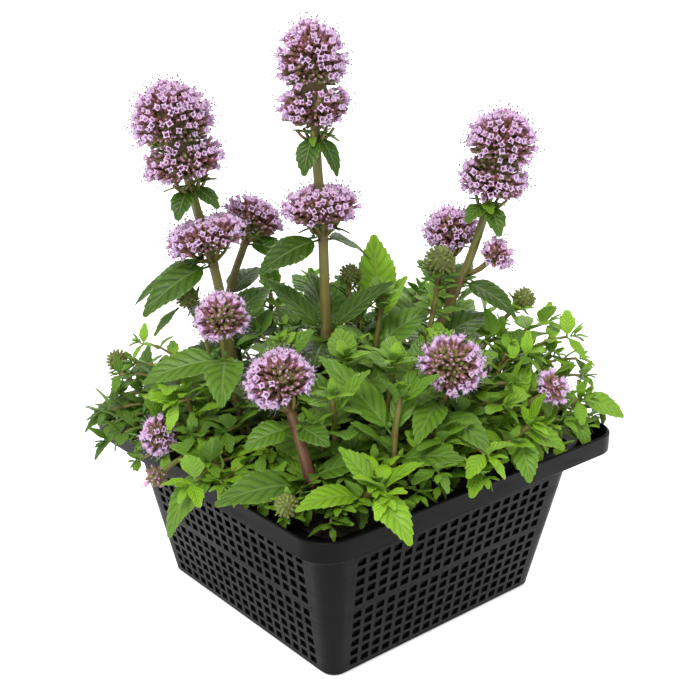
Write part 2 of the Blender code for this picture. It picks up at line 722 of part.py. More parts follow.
def bud(centre, radius):
    """A closed bud: an icosahedron with a sepal point raised on every face."""
    bm = bmesh.new()
    bmesh.ops.create_icosphere(bm, subdivisions=1, radius=radius * BUD_CORE)
    bmesh.ops.poke(bm, faces=bm.faces[:], offset=radius * BUD_POINT)
    points = [vertex.co + centre for vertex in bm.verts]
    faces = [[vertex.index for vertex in face.verts] for face in bm.faces]
    bm.free()
    return points, faces


def head_profile(kind, radius, height, hole, length):
    """Profile (radius, height) of a head's core, and a floret's rise for each band or None."""
    core = radius * CORE_SHARE
    top = core_top(radius, height)
    if kind == "tall":
        shape = [(0.45, 0.02, None), (0.93, 0.10, 0), (0.97, 0.26, None), (0.62, 0.33, None),
                 (0.90, 0.41, 0), (1.0, 0.62, 22), (0.80, 0.84, 55), (0.36, 0.97, 85), (0.0, 1.0, None)]
    elif kind == "dome":
        shape = [(0.42, 0.02, None), (0.88, 0.20, 0), (1.0, 0.50, 30), (0.72, 0.82, 60), (0.30, 0.98, 86),
                 (0.0, 1.0, None)]
    else:
        shape = [(0.55, 0.0, -25), (1.0, 0.28, 8), (1.0, 0.66, 42), (0.60, 1.0, None)]
    profile = [(core * share, top * rise) for share, rise, _ in shape]
    rises = [rise for _, _, rise in shape]
    if kind == "whorl":
        profile = [(hole, 0.0), *profile, (hole, top)]
        return profile, [None, *rises, None]
    deep = socket_depth(radius, height)
    return [(0.0, deep), (hole, deep), (hole, 0.0), *profile], [None, None, None, *rises]


def flower_head(name, kind, foot, axis, radius, height, segments, hole):
    """A head turned about its axis, each quad of its bands drawn out into a floret."""
    length = radius * (1 - CORE_SHARE)
    profile, rises = head_profile(kind, radius, height, hole, length)
    rng = random.Random(name)
    spin = Vector((0, 0, 1)).rotation_difference(axis)
    points = []
    faces = []
    rings = []
    for r, h in profile:
        if r == 0.0:
            rings.append([len(points)] * segments)
            points.append(Vector((0, 0, h)))
            continue
        rings.append([len(points) + i for i in range(segments)])
        for i in range(segments):
            angle = 2 * math.pi * i / segments
            points.append(Vector((r * math.cos(angle), r * math.sin(angle), h)))
    bands = list(zip(rings, rings[1:], rises))
    if kind == "whorl":
        bands.append((rings[-1], rings[0], None))
    for low, high, rise in bands:
        for i in range(segments):
            j = (i + 1) % segments
            quad = list(dict.fromkeys([low[i], low[j], high[j], high[i]]))
            if rise is None:
                faces.append(quad)
            else:
                faces.extend(floret(points, quad, 2 * math.pi * (i + 0.5) / segments, rise, length, rng))
    points = [spin @ point + foot for point in points]
    return points, faces


def floret(points, quad, angle, rise, length, rng):
    """Draws one quad out into a floret and returns its faces."""
    rise = math.radians(rise + rng.uniform(-6, 6))
    angle += rng.uniform(-0.08, 0.08)
    out = Vector((math.cos(angle) * math.cos(rise), math.sin(angle) * math.cos(rise), math.sin(rise)))
    reach = length * rng.uniform(0.88, 1.02)
    middle = sum((points[i] for i in quad), Vector()) / len(quad)
    first = len(points)
    for i in quad:
        points.append(middle + (points[i] - middle) * FLORET_TAPER + out * reach)
    count = len(quad)
    faces = [[first + i for i in range(count)]]
    for i in range(count):
        j = (i + 1) % count
        faces.append([quad[i], quad[j], first + j, first + i])
    return faces


# ---------------------------------------------------------------- fusing and fitting clear

def fuse(name, solids, material):
    """One body from a stem and the leaves and buds rooted in it."""
    gathered = bpy.data.collections.new(name + "_repeats")
    bpy.context.scene.collection.children.link(gathered)
    base = add_object(name, make_mesh(name, *solids[0]), material)
    for i, solid in enumerate(solids[1:]):
        piece = bpy.data.objects.new(f"{name}_{i}", make_mesh(f"{name}_{i}", *solid))
        gathered.objects.link(piece)
    if len(solids) > 1:
        union = base.modifiers.new("union", "BOOLEAN")
        union.operation = "UNION"
        union.operand_type = "COLLECTION"
        union.collection = gathered
        union.solver = "EXACT"
        if not is_one_body(evaluated_mesh(base)):
            union.solver = "MANIFOLD"
        fused = evaluated_mesh(base)
        base.modifiers.clear()
        base.data = fused
    for piece in list(gathered.objects):
        bpy.data.objects.remove(piece)
    bpy.data.collections.remove(gathered)
    base.data.name = name
    base.data.materials.clear()
    base.data.materials.append(material)
    return base


def evaluated_mesh(item):
    bpy.context.view_layer.update()
    return bpy.data.meshes.new_from_object(item.evaluated_get(bpy.context.evaluated_depsgraph_get()))


def is_one_body(mesh):
    """True if every edge has two faces and all faces hang together."""
    bm = bmesh.new()
    bm.from_mesh(mesh)
    bm.faces.ensure_lookup_table()
    closed = all(len(edge.link_faces) == 2 for edge in bm.edges)
    seen = set()
    stack_of_faces = [bm.faces[0]] if bm.faces[:] else []
    while stack_of_faces:
        face = stack_of_faces.pop()
        if face in seen:
            continue
        seen.add(face)
        for edge in face.edges:
            stack_of_faces.extend(other for other in edge.link_faces if other not in seen)
    whole = closed and len(seen) == len(bm.faces)
    bm.free()
    return whole


class Solid:
    """A search tree of some faces, with its box."""

    def __init__(self, points, faces):
        used = {i for face in faces for i in face}
        self.low = [min(points[i][axis] for i in used) for axis in range(3)]
        self.high = [max(points[i][axis] for i in used) for axis in range(3)]
        self.tree = BVHTree.FromPolygons([tuple(point) for point in points], faces)

    def crosses(self, other):
        if any(self.low[a] > other.high[a] or self.high[a] < other.low[a] for a in range(3)):
            return False
        return bool(self.tree.overlap(other.tree))


class Obstacles:
    """What is already placed, by owner, for keeping the next leaf clear of it."""

    def __init__(self):
        self.solids = []
        self.blades = []

    def add(self, owner, points, faces):
        self.solids.append((owner, Solid(points, faces)))

    def add_leaf(self, owner, placed):
        self.add(owner, *placed.solid())
        self.blades.append((owner, Solid(*placed.blade())))

    def block(self, owner, grown, placed):
        """True if the leaf, grown, meets another owner's solids, or its blade crosses its own stem."""
        probe = Solid(*grown.solid())
        if any(other != owner and probe.crosses(solid) for other, solid in self.solids):
            return True
        blade = Solid(*placed.blade())
        if any(other == owner and blade.crosses(solid) for other, solid in self.solids):
            return True
        whole = Solid(*placed.solid())
        return any(other == owner and whole.crosses(solid) for other, solid in self.blades)


# Ways to bend a leaf clear, mildest first: turn, lift in degrees and size
VARIANTS = [(turn, lift, size) for size in (1.0, 0.85, 0.7) for lift in (0, 9, -9, 18, -18, 28)
            for turn in (0, 9, -9, 18, -18, 28, -28)]
VARIANTS.sort(key=lambda way: abs(way[0]) + abs(way[1]) + 90 * (1 - way[2]))


def vary(root, tip, way):
    """The leaf's tip turned, lifted and drawn in about its root."""
    turn, lift, size = way
    chord = (tip - root) * size
    flat = math.hypot(chord.x, chord.y)
    heading = math.atan2(chord.y, chord.x) + math.radians(turn)
    rise = math.atan2(chord.z, flat) + math.radians(lift)
    reach = chord.length
    return root + Vector((math.cos(heading) * math.cos(rise), math.sin(heading) * math.cos(rise),
                          math.sin(rise))) * reach


def spread_nodes(leaves, stem):
    """Leaves that can't share a node's faces get a node of their own a little higher or lower."""
    nodes = {}
    spread = []
    for height, *shape in leaves:
        heading = math.degrees(stem.side_angle(height, as_world(shape[0])))
        for step in range(12):
            z = height + NODE_STEP * (step + 1) // 2 * (1 if step % 2 else -1) if step else height
            z = min(z, stem.curve[-1].z)
            if fits_node(nodes, z, heading, stem.curve[-1].z):
                break
        nodes.setdefault(z, []).append(heading)
        spread.append((z, *shape))
    return spread


def fits_node(nodes, z, heading, top):
    """True if a leaf of this heading finds a free face at a height."""
    if z == top:
        return z not in nodes
    if any(0 < abs(z - other) < NODE_STEP for other in nodes):
        return False
    for other in nodes.get(z, ()):
        apart = abs((heading - other + 180) % 360 - 180)
        askew = abs((heading - other + 45) % 90 - 45)
        if apart < 60 or askew > 28:
            return False
    return True


def lit_roll(root, tip, roll):
    """The leaf's roll, with the part that turns its face to the light."""
    chord = tip - root
    return roll + LIGHT_ROLL * chord.dot(to_world(1.0, 0.0, 0.0)) / chord.length


def place_leaf(owner, spec, stem, obstacles):
    """The mildest variant of a leaf that crosses nothing else, or None."""
    height, tip, width, bend, roll = spec
    tip = as_world(tip)
    root = stem.root(height, tip)
    roll = lit_roll(root, tip, roll)
    for way in VARIANTS:
        shape = (root, vary(root, tip, way), width * way[2], bend, roll)
        placed = Leaf(*shape)
        if not obstacles.block(owner, Leaf(*shape, grow=LEAF_CLEARANCE), placed):
            obstacles.add_leaf(owner, placed)
            return placed
    return None


# ---------------------------------------------------------------- fill shoots by rule

def fill_shoot(number, base):
    """A leafy shoot that leans outwards: three pairs of leaves and a tuft at its top."""
    rng = random.Random(FILL_SEED * 1000 + number)
    distance = math.hypot(*base) / FILL_REACH
    height = FILL_HEIGHT[1] + (FILL_HEIGHT[0] - FILL_HEIGHT[1]) * distance ** 1.5
    height *= rng.uniform(0.88, 1.12)
    outward = math.atan2(base[1], base[0])
    lean = (0.10 + 0.42 * distance ** 2) * height
    points = []
    for share in (0.0, 0.4, 0.75, 1.0):
        shift = lean * share ** 1.6
        points.append((base[0] + math.cos(outward) * shift, base[1] + math.sin(outward) * shift,
                       SOIL_TOP + height * share))
    line = Stem(smooth([to_world(*point) for point in points], 1), 1.0, 1.0)
    leaves = []
    first = rng.uniform(0, 180)
    for node, (share, usual_length, usual_lift, bend) in enumerate(FILL_PAIRS):
        z = SOIL_TOP + height * share
        root = line.at_height(z)
        length = usual_length * rng.uniform(0.88, 1.12)
        for side in (0, 1):
            heading = math.radians(first + 90 * node + 180 * side + rng.uniform(-14, 14))
            lift = math.radians(usual_lift + rng.uniform(-8, 8))
            tip = root + Vector((math.cos(heading) * math.cos(lift), math.sin(heading) * math.cos(lift),
                                 math.sin(lift))) * length
            leaves.append((z, tip, length * FILL_LEAF_WIDTH, bend, 0))
    return points, *FILL_THICKNESS, leaves, 0


def fill_bases():
    """Places for the fill shoots on a sunflower spiral, clear of the named stems."""
    taken = [branches[0][0][0][:2] for branches in SHOOTS.values()]
    bases = []
    for i in range(400):
        if len(bases) == FILL_SHOOTS:
            break
        reach = FILL_REACH * math.sqrt(((i * 7) % FILL_RINGS + 0.5) / FILL_RINGS)
        angle = i * FILL_TURN
        r, n = reach * math.cos(angle), reach * math.sin(angle)
        x, y, _ = to_world(r, n, 0.0)
        if max(abs(x), abs(y)) > inner_half(SOIL_TOP) - SOIL_EDGE_BAND - 4.0:
            continue
        if all(math.hypot(r - a, n - b) > FILL_SPACING for a, b in taken):
            bases.append((r, n))
            taken.append((r, n))
    return bases


# ---------------------------------------------------------------- assembly

def main():
    for item in list(bpy.data.objects):
        bpy.data.objects.remove(item)
    shoots = dict(SHOOTS)
    for number, base in enumerate(fill_bases()):
        shoots[f"shoot_fill_{number + 1:02d}"] = [fill_shoot(number, base)]
    curves = {}
    for name, branches in shoots.items():
        steps = 2 if name in SHOOTS else 1
        curves[name] = [branch_curve(branch, i == 0, peg_length(name, i), steps)
                        for i, branch in enumerate(branches)]

    soil = make_soil()
    obstacles = Obstacles()
    for item in (make_basket(), soil):
        mesh = evaluated_mesh(item)
        obstacles.add(item.name, [vertex.co / MM for vertex in mesh.vertices],
                      [tuple(face.vertices) for face in mesh.polygons])
    stems = {}
    buds = {}
    for name, branches in shoots.items():
        stems[name] = [Stem(curve, branch[1], branch[2]) for branch, curve in zip(branches, curves[name])]
        buds[name] = [bud(curve[-1] + Vector((0, 0, branch[4] * BUD_RISE)), branch[4])
                      for branch, curve in zip(branches, curves[name]) if branch[4]]
        for stem in stems[name]:
            obstacles.add(name, *stem.solid(extra=stem.half(0.0) * (math.sqrt(2) - 1)))
        for solid in buds[name]:
            obstacles.add(name, *solid)

    flowers = principled("flowers_lilac", LILAC, 0.7)
    for name, (kind, shoot, number, radius, height, segments) in HEADS.items():
        curve = curves[shoot][number]
        axis = (curve[-1] - curve[-2]).normalized()
        hole = half_diagonal(shoots[shoot][number][2], segments)
        foot = curve[-2]
        solid = flower_head(name, kind, foot, axis, radius, height, segments, hole)
        obstacles.add(name, *solid)
        colour = HEAD_COLOURS.get(name)
        add_object(name, make_mesh(name, *solid), principled(name, colour, 0.8) if colour else flowers)
    for name, (shoot, z, radius, height, segments) in WHORLS.items():
        stem = stems[shoot][0]
        reach = stem.reach_at_height(z)
        middle = stem.at(reach)
        axis = stem.along(reach)
        hole = half_diagonal(2 * stem.half(reach), segments)
        solid = flower_head(name, "whorl", middle - axis * height / 2, axis, radius, height, segments, hole)
        obstacles.add(name, *solid)
        add_object(name, make_mesh(name, *solid), flowers)

    foliage = principled("foliage", GREEN, 0.55)
    feet = []
    missing = 0
    for name, branches in shoots.items():
        solids = []
        for branch, stem in zip(branches, stems[name]):
            specs = spread_nodes(branch[3], stem)
            placed = [(spec[0], place_leaf(name, spec, stem, obstacles)) for spec in specs]
            leaves = [pair for pair in placed if pair[1]]
            missing += len(placed) - len(leaves)
            solids.append(stem.solid(leaves))
            if stem is stems[name][0]:
                feet.append(stem.rings(leaves)[0][0])
        fuse(name, solids + buds[name], foliage)
    cut_stem_holes(soil, feet)
    print("leaves left out:", missing)


main()
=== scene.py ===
"""Water mint in flower, growing in a square mesh pond basket: the visible model and its finishes.

Run as a script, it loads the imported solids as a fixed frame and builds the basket's fine mesh, the
compost, the leafy stems, the flower heads, the buds and the water drops around them.  Lengths are in
millimetres until a mesh is made, where MM turns them into metres.  The plant is laid out on axes
turned PLANT_TURN degrees from the basket's sides: r runs across, n runs towards the basket's front
corner, and z runs up.
"""

import json
import math
import random

import bmesh
import bpy
import numpy as np
from bpy.props import FloatProperty, FloatVectorProperty, IntProperty, PointerProperty
from mathutils import Matrix, Vector
from mathutils.bvhtree import BVHTree
from mathutils.kdtree import KDTree

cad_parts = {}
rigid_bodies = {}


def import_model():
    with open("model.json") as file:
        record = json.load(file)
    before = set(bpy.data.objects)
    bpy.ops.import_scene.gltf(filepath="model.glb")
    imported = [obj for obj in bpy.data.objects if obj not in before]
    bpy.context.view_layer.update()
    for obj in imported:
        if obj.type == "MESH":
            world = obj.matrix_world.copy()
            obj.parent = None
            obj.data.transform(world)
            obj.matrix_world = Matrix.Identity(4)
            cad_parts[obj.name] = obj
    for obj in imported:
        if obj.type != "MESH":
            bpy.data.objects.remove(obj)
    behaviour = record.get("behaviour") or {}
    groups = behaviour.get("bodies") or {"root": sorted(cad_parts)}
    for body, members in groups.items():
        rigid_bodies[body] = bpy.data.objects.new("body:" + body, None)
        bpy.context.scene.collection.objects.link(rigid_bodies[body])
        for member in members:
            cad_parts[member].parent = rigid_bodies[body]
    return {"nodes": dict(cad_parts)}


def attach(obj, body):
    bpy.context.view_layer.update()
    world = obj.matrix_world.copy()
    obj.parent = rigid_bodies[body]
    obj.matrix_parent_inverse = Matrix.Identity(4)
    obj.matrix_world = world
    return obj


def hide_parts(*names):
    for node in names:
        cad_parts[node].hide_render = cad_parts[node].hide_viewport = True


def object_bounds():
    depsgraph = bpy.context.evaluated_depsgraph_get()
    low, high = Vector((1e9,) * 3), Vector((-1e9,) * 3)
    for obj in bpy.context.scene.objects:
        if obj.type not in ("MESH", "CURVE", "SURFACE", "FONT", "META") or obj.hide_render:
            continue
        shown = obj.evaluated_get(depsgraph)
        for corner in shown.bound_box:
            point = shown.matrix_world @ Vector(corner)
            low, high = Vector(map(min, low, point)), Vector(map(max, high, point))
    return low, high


bl_info = {
    "name": "Potted flowering mint",
    "version": (1, 0, 0),
    "blender": (4, 5, 0),
    "location": "View3D > Sidebar > Mint",
    "description": "Builds the visible leaves, florets, basket mesh and finishes around the packed solids",
    "category": "Add Mesh",
}

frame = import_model()
CAD_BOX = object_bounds()
NODES = frame["nodes"]
BODY = "root"

MM = 0.001
PLANT_TURN = 50.0

# Basket
RIM_SIDE = 190.0
RIM_CORNER = 15.0
RIM_TOP = 87.0
RIM_HEIGHT = 9.5
LIP = 1.7
WALL = 1.6
WALL_TOP_SIDE = 162.4
WALL_TOP_CORNER = 11.6
BASE_SIDE = 133.0
BASE_CORNER = 7.3
FLOOR = 1.8
MESH_LOW = 2.7
MESH_MIDDLE = 37.2
MESH_HIGH = 66.2
MESH_HALF_AT_FLOOR = 58.6
MESH_HALF_AT_SHELF = 64.9
SHELF = RIM_TOP - RIM_HEIGHT
FLOOR_EDGE = 7.0
FLOOR_HOLES = 16
ROUNDING = 0.45

# Soil, stems and the leaves that the solids share
SOIL_TOP = 80.0
STEM_FOOT = 72.0
PETIOLE_SHARE = 0.10
FOLD = 16.0
NODE_STEP = 3.0
TANGENT_STEP = 1.5
CORE_SHARE = 0.72
CORE_LIFT = 0.75
SOCKET_DEPTH = 7.0
GAP = 0.3
BUD_RISE = 0.4
LIGHT_ROLL = 30.0

# Where water drops lie: on faces this level, and this large in square metres
DROP_SLOPE = 0.45
DROP_AREA = 0.8e-6

# How far from the middle small shoots may stand: inside the wall at the soil's top
FILL_HALF = (BASE_SIDE + (WALL_TOP_SIDE - BASE_SIDE) * SOIL_TOP / SHELF) / 2 - WALL - 13.0
# How near a leaf's tip must be to a corner of its solid
TIP_MATCH = 0.05

# Leaf margins and veins
VEIN_PAIRS = 6.5
VEIN_SWEEP = 0.28
SMALL_LEAF = 20.0
TINY_LEAF = 9.5
TOOTH_DEPTH = 0.05
TOOTH_STEP = 3.6
SMALL_TOOTH_STEP = 4.4

# Shares of a leaf's width by which its blade swells between the veins, waves and droops
SWELL = 0.024
WAVE = 0.022
DROOP = 0.10

# Half a leaf's thickness, and what its midrib adds
THIN = 0.13
MIDRIB = 0.12

# Small shoots: thickness at the foot and top, height in the middle and at the edge of the basket,
# and the steps that spread them evenly over the soil
SHOOT_THICKNESS = (1.7, 1.1)
MIDDLE_HEIGHT = 58
EDGE_HEIGHT = 24
EVEN_STEPS = (0.7549, 0.5698)

# The sides that the small shoots are parted by, from this heading on
SIDES = ("front", "right", "back", "left")
FIRST_HEADING = 265

# Florets
FLORET_SPACING = 3.9
CALYX_SPACING = 3.35
CALYX_DEPTH = 1.2
FLORET_LENGTH = 6.5
CORE_INSET = FLORET_LENGTH + 1.9
CORE_SIDES = 14
BUD_CORE = 0.84
GOLDEN_ANGLE = 2.4

# Stems: points (r, n, z), thickness at the foot and at the top
STEM_A = ([(-52, 6, 80), (-57, 5, 110), (-60, 3, 140), (-65, 2, 168), (-71, 0, 190), (-75, 0, 207)],
          4.2, 3.4)
STEM_B = ([(-60, -10, 80), (-61, -11, 120), (-60, -14, 148), (-54, -23, 167), (-50, -28, 178)],
          3.6, 2.8)
STEM_C = ([(-8, 4, 80), (-11, 2, 115), (-12, 1, 150), (-13, 0, 187), (-15, 0, 212), (-16, 0, 231)],
          4.3, 3.5)
STEM_D = ([(27, 0, 80), (35, 0, 112), (45, 0, 140), (56, 0, 167), (63, 0, 190), (65, 0, 199)],
          3.9, 3.0)
STEM_E = ([(38, -15, 80), (46, -15, 125), (50, -15, 155), (50, -14, 174)], 3.2, 2.6)
STEM_F = ([(31, 12, 80), (36, 11, 125), (40, 10, 150), (42, 10, 169)], 2.6, 1.8)

# Leaves: height of the leaf's node on its branch, tip (r, n, z), width, bend down, roll if it has any.
# Branches: (points, thickness at the foot, thickness at the top, leaves, radius of the bud or 0)
SHOOTS = {
    "stem_left_tall": [
        (*STEM_A, [
            (168, (-96, 22, 148), 18, 40, -6), (168, (-112, -10, 158), 14, 30), (205, (-77, 15, 192), 12, 35),
            (205, (-61, 7, 196), 10, 35), (138, (-40, -22, 150), 17, 30), (116, (-38, 30, 112), 17, 50),
            (116, (-79, -18, 120), 17, 45)], 0),
        ([(-62, 3, 146), (-70, 7, 149), (-77, 10, 152)], 1.8, 1.6,
         [(150, (-84, 18, 162), 7, 15)], 5.0)],
    "stem_left_short": [
        (*STEM_B, [
            (172, (-30, -22, 164), 15, 45), (172, (-72, -40, 160), 13, 45), (148, (-52, -38, 164), 16, 20),
            (125, (-84, -24, 143), 15, 35), (125, (-38, -30, 126), 16, 35)], 0)],
    "stem_centre_tall": [
        (*STEM_C, [
            (180, (-42, 20, 168), 17, 30, -8), (180, (10, -20, 165), 15, 40), (229, (-21, 12, 212), 12, 35),
            (229, (-6, 8, 211), 10, 35), (135, (-38, 2, 166), 16, 12, -8), (135, (21, 4, 160), 15, 15, 8),
            (133, (-17, 32, 126), 21, 50), (135, (-20, -30, 156), 16, 20), (106, (-34, -12, 128), 17, 30),
            (106, (16, 20, 112), 17, 40)], 0)],
    "stem_right_tall": [
        (*STEM_D, [
            (197, (54, 10, 190), 10, 35), (197, (69, 13, 184), 11, 35), (160, (78, 16, 146), 14, 35),
            (158, (46, -28, 160), 14, 35), (128, (72, -18, 137), 17, 35), (128, (30, 30, 132), 15, 35),
            (104, (62, 8, 104), 16, 40)], 0),
        ([(56, 0, 163), (61, 1, 165), (66, 3, 170)], 2.2, 2.0, [], 0)],
    "stem_right_short": [
        (*STEM_E, [
            (150, (62, -34, 160), 13, 30), (150, (34, -30, 162), 12, 30), (118, (70, -32, 118), 16, 40),
            (118, (24, -40, 126), 16, 35)], 0)],
    "stem_budding": [
        (*STEM_F, [
            (147, (53, 16, 150), 5, 15), (147, (30, 15, 152), 5, 15), (158, (50, 14, 165), 4, 15),
            (158, (33, 13, 166), 4, 15)], 7.0)],
    "stem_front_left": [
        ([(-46, 40, 80), (-51, 41, 110), (-56, 41, 135), (-57, 42, 147)], 3.4, 3.0, [
            (134, (-94, 47, 124), 17, 30, -6), (134, (-55, 76, 124), 19, 60), (112, (-70, 20, 120), 15, 30),
            (112, (-32, 62, 118), 15, 40)], 0)],
    "stem_front_centre": [
        ([(-13, 84, 80), (-16, 88, 92), (-20, 86, 108), (-25, 81, 124), (-27, 80, 130)], 4.2, 3.6, [
            (118, (-44, 92, 112), 14, 35), (118, (-9, 99, 116), 13, 30), (94, (-56, 105, 92), 18, 35),
            (94, (8, 96, 108), 14, 20)], 0)],
    "stem_front_right": [
        ([(30, 52, 80), (35, 54, 100), (41, 55, 120), (43, 59, 131)], 3.4, 3.0, [
            (120, (28, 85, 111), 15, 40), (114, (60, 78, 104), 15, 40), (98, (67, 48, 112), 16, 30),
            (96, (28, 84, 92), 15, 30)], 0)],
    "shoot_front_middle": [
        ([(15, 74, 80), (18, 78, 95), (19, 77, 112), (21, 74, 128)], 3.0, 2.0, [
            (104, (0, 93, 124), 15, 15), (100, (48, 92, 107), 14, 30), (112, (-14, 62, 143), 17, 15),
            (112, (28, 58, 156), 17, 10), (126, (38, 76, 140), 10, 15), (126, (12, 84, 141), 10, 15)], 0)],
    "shoot_back_middle": [
        ([(13, -30, 80), (14, -31, 110), (14, -30, 137)], 2.8, 2.0, [
            (138, (12, -37, 174), 22, 8), (130, (30, -44, 150), 12, 30), (108, (-12, -48, 116), 17, 40),
            (108, (36, -14, 116), 16, 40)], 0)],
    "shoot_front_corner": [
        ([(2, 89, 80), (5, 98, 92), (10, 107, 101)], 2.6, 2.0, [
            (93, (-22, 118, 96), 13, 45), (98, (24, 124, 84), 14, 55), (102, (-5, 104, 118), 13, 10),
            (99, (30, 106, 112), 13, 20), (100, (10, 118, 112), 9, 20)], 0)],
    "shoot_front_edge": [
        ([(-24, 82, 80), (-25, 95, 91), (-26, 108, 92)], 2.0, 1.6,
         [(89, (-38, 106, 100), 8, 20), (89, (-12, 112, 84), 7, 20)], 4.6)],
    "shoot_left_hanging": [
        ([(-46, 54, 80), (-54, 65, 90), (-61, 74, 97)], 2.8, 2.0, [
            (93, (-79, 84, 66), 15, 70), (92, (-80, 66, 102), 14, 25), (98, (-58, 82, 113), 12, 10),
            (90, (-44, 86, 88), 14, 35)], 0)],
    "shoot_left_bright": [
        ([(-64, 32, 80), (-71, 42, 102), (-74, 48, 119)], 2.2, 1.8, [
            (120, (-77, 49, 140), 12, 10), (114, (-93, 52, 120), 9, 25), (112, (-58, 60, 118), 10, 25),
            (102, (-60, 40, 110), 10, 25)], 0),
        ([(-69, 40, 94), (-76, 43, 96), (-82, 45, 98)], 1.8, 1.8, [], 0)],
    "shoot_left_corner": [
        ([(-80, 6, 80), (-90, 6, 92), (-103, 3, 103), (-114, 0, 117)], 2.4, 1.8, [
            (98, (-131, 8, 84), 14, 75), (96, (-107, 28, 84), 15, 40), (104, (-100, -10, 124), 9, 15),
            (106, (-116, 14, 104), 8, 30)], 5.0)],
    "shoot_left_low": [
        ([(-60, 40, 80), (-67, 52, 91), (-75, 60, 94), (-83, 66, 90)], 2.0, 1.8,
         [(91, (-86, 44, 94), 9, 30)], 0)],
    "shoot_right_hanging": [
        ([(60, 40, 80), (72, 46, 94), (81, 50, 105)], 2.4, 1.8, [
            (99, (80, 66, 84), 13, 60), (99, (98, 54, 98), 12, 40), (94, (66, 62, 108), 12, 30),
            (106, (88, 50, 121), 10, 10)], 0)],
    "shoot_right_corner": [
        ([(84, 10, 82), (96, 8, 93), (114, 6, 101)], 2.6, 2.0, [
            (102, (135, 8, 92), 15, 35), (97, (117, 24, 78), 13, 60), (92, (108, -12, 104), 14, 25),
            (99, (108, 2, 120), 10, 10)], 0)],
    "shoot_right_flowering": [
        ([(62, 24, 80), (70, 32, 100), (84, 37, 112), (89, 38, 116)], 2.4, 1.8, [
            (104, (86, 20, 124), 12, 25), (104, (64, 46, 96), 12, 30)], 0)],
    "shoot_right_budding": [
        ([(60, -14, 80), (66, -11, 120), (76, -8, 138), (85, -6, 147)], 2.2, 1.6, [
            (126, (88, 6, 130), 11, 30), (126, (62, -26, 136), 11, 30), (142, (90, 4, 154), 5, 15)], 5.0)],
    "shoot_centre_budding": [
        ([(-2, -20, 80), (-2, -21, 120), (0, -21, 155)], 2.0, 1.6, [
            (118, (-26, -40, 134), 15, 25), (118, (20, -8, 132), 13, 25), (146, (-8, -14, 156), 5, 15),
            (146, (8, -20, 157), 5, 15)], 5.0)],
    "shoot_back_bright": [
        ([(-40, -42, 80), (-41, -41, 120), (-41, -40, 142)], 2.4, 1.8, [
            (143, (-41, -38, 160), 12, 8), (134, (-60, -38, 140), 11, 25), (134, (-24, -42, 141), 11, 25),
            (118, (-50, -62, 126), 15, 30), (118, (-30, -20, 128), 14, 25)], 0)],
}

# Fill shoots: spread by rule over the soil where no named stem stands
FILL_SHOOTS = 13
FILL_SEED = 41
FILL_REACH = 98.0
FILL_SPACING = 15.0
FILL_HEIGHT = (34.0, 68.0)
FILL_TURN = math.radians(137.5)
FILL_RINGS = 61
FILL_THICKNESS = (2.6, 1.8)
# Each pair's share of the shoot's height, length, lift and bend
FILL_PAIRS = ((0.36, 33, 12, 38), (0.64, 31, 26, 28), (0.92, 20, 40, 20))
FILL_LEAF_WIDTH = 0.64

# Flower heads: kind, shoot, branch, whole radius, height
HEADS = {
    "head_left_tall": ("tall", "stem_left_tall", 0, 20.0, 48.0),
    "head_centre_tall": ("tall", "stem_centre_tall", 0, 17.5, 50.0),
    "head_right_tall": ("tall", "stem_right_tall", 0, 17.5, 43.0),
    "head_left_short": ("dome", "stem_left_short", 0, 16.0, 17.0),
    "head_right_short": ("dome", "stem_right_short", 0, 14.5, 19.0),
    "head_right_side": ("dome", "stem_right_tall", 1, 9.5, 13.0),
    "head_front_left": ("dome", "stem_front_left", 0, 13.0, 19.0),
    "head_front_centre": ("dome", "stem_front_centre", 0, 15.5, 22.0),
    "head_front_right": ("dome", "stem_front_right", 0, 15.3, 22.0),
    "head_left_low": ("dome", "shoot_left_bright", 1, 11.0, 15.0),
    "head_left_fading": ("dome", "shoot_left_low", 0, 8.0, 11.0),
    "head_right_low": ("dome", "shoot_right_flowering", 0, 9.0, 13.0),
}
# Whorls that a stem passes through: stem, height of the middle, whole radius, height
WHORLS = {
    "whorl_left": ("stem_left_tall", 182.0, 20.5, 15.0),
    "whorl_centre": ("stem_centre_tall", 196.0, 19.0, 17.0),
}


# ---------------------------------------------------------------- the plan that the solids share

def to_world(r, n, z):
    """A point of the plant's own axes in the basket's frame, still in millimetres."""
    turn = math.radians(PLANT_TURN)
    return Vector((r * math.cos(turn) + n * math.sin(turn),
                   r * math.sin(turn) - n * math.cos(turn), z))


def as_world(place):
    return place if isinstance(place, Vector) else to_world(*place)


def smooth(points, steps):
    """A Catmull-Rom curve through the points."""
    padded = [points[0] * 2 - points[1], *points, points[-1] * 2 - points[-2]]
    curve = []
    for i in range(1, len(padded) - 2):
        a, b, c, d = padded[i - 1:i + 3]
        for step in range(steps):
            t = step / steps
            curve.append(0.5 * (2 * b + (c - a) * t + (2 * a - 5 * b + 4 * c - d) * t * t
                                + (3 * b - a - 3 * c + d) * t ** 3))
    curve.append(points[-1])
    return curve


def core_top(radius, height):
    """Height of a head's core, inside its florets."""
    return height - radius * (1 - CORE_SHARE) * CORE_LIFT


def peg_length(shoot, number):
    """How far a branch reaches into the head on it, or 0 where it bears none."""
    for _, owner, branch, radius, height in HEADS.values():
        if owner == shoot and branch == number:
            return min(SOCKET_DEPTH, core_top(radius, height) * 0.5) - GAP
    return 0.0


def branch_curve(branch, is_main, peg, steps):
    """A branch's middle line, from inside the soil to the end of its peg in a head."""
    points = smooth([to_world(*point) for point in branch[0]], steps)
    if is_main:
        points.insert(0, Vector((points[0].x, points[0].y, STEM_FOOT)))
    if peg:
        points.append(points[-1] + (points[-1] - points[-2]).normalized() * peg)
    return points


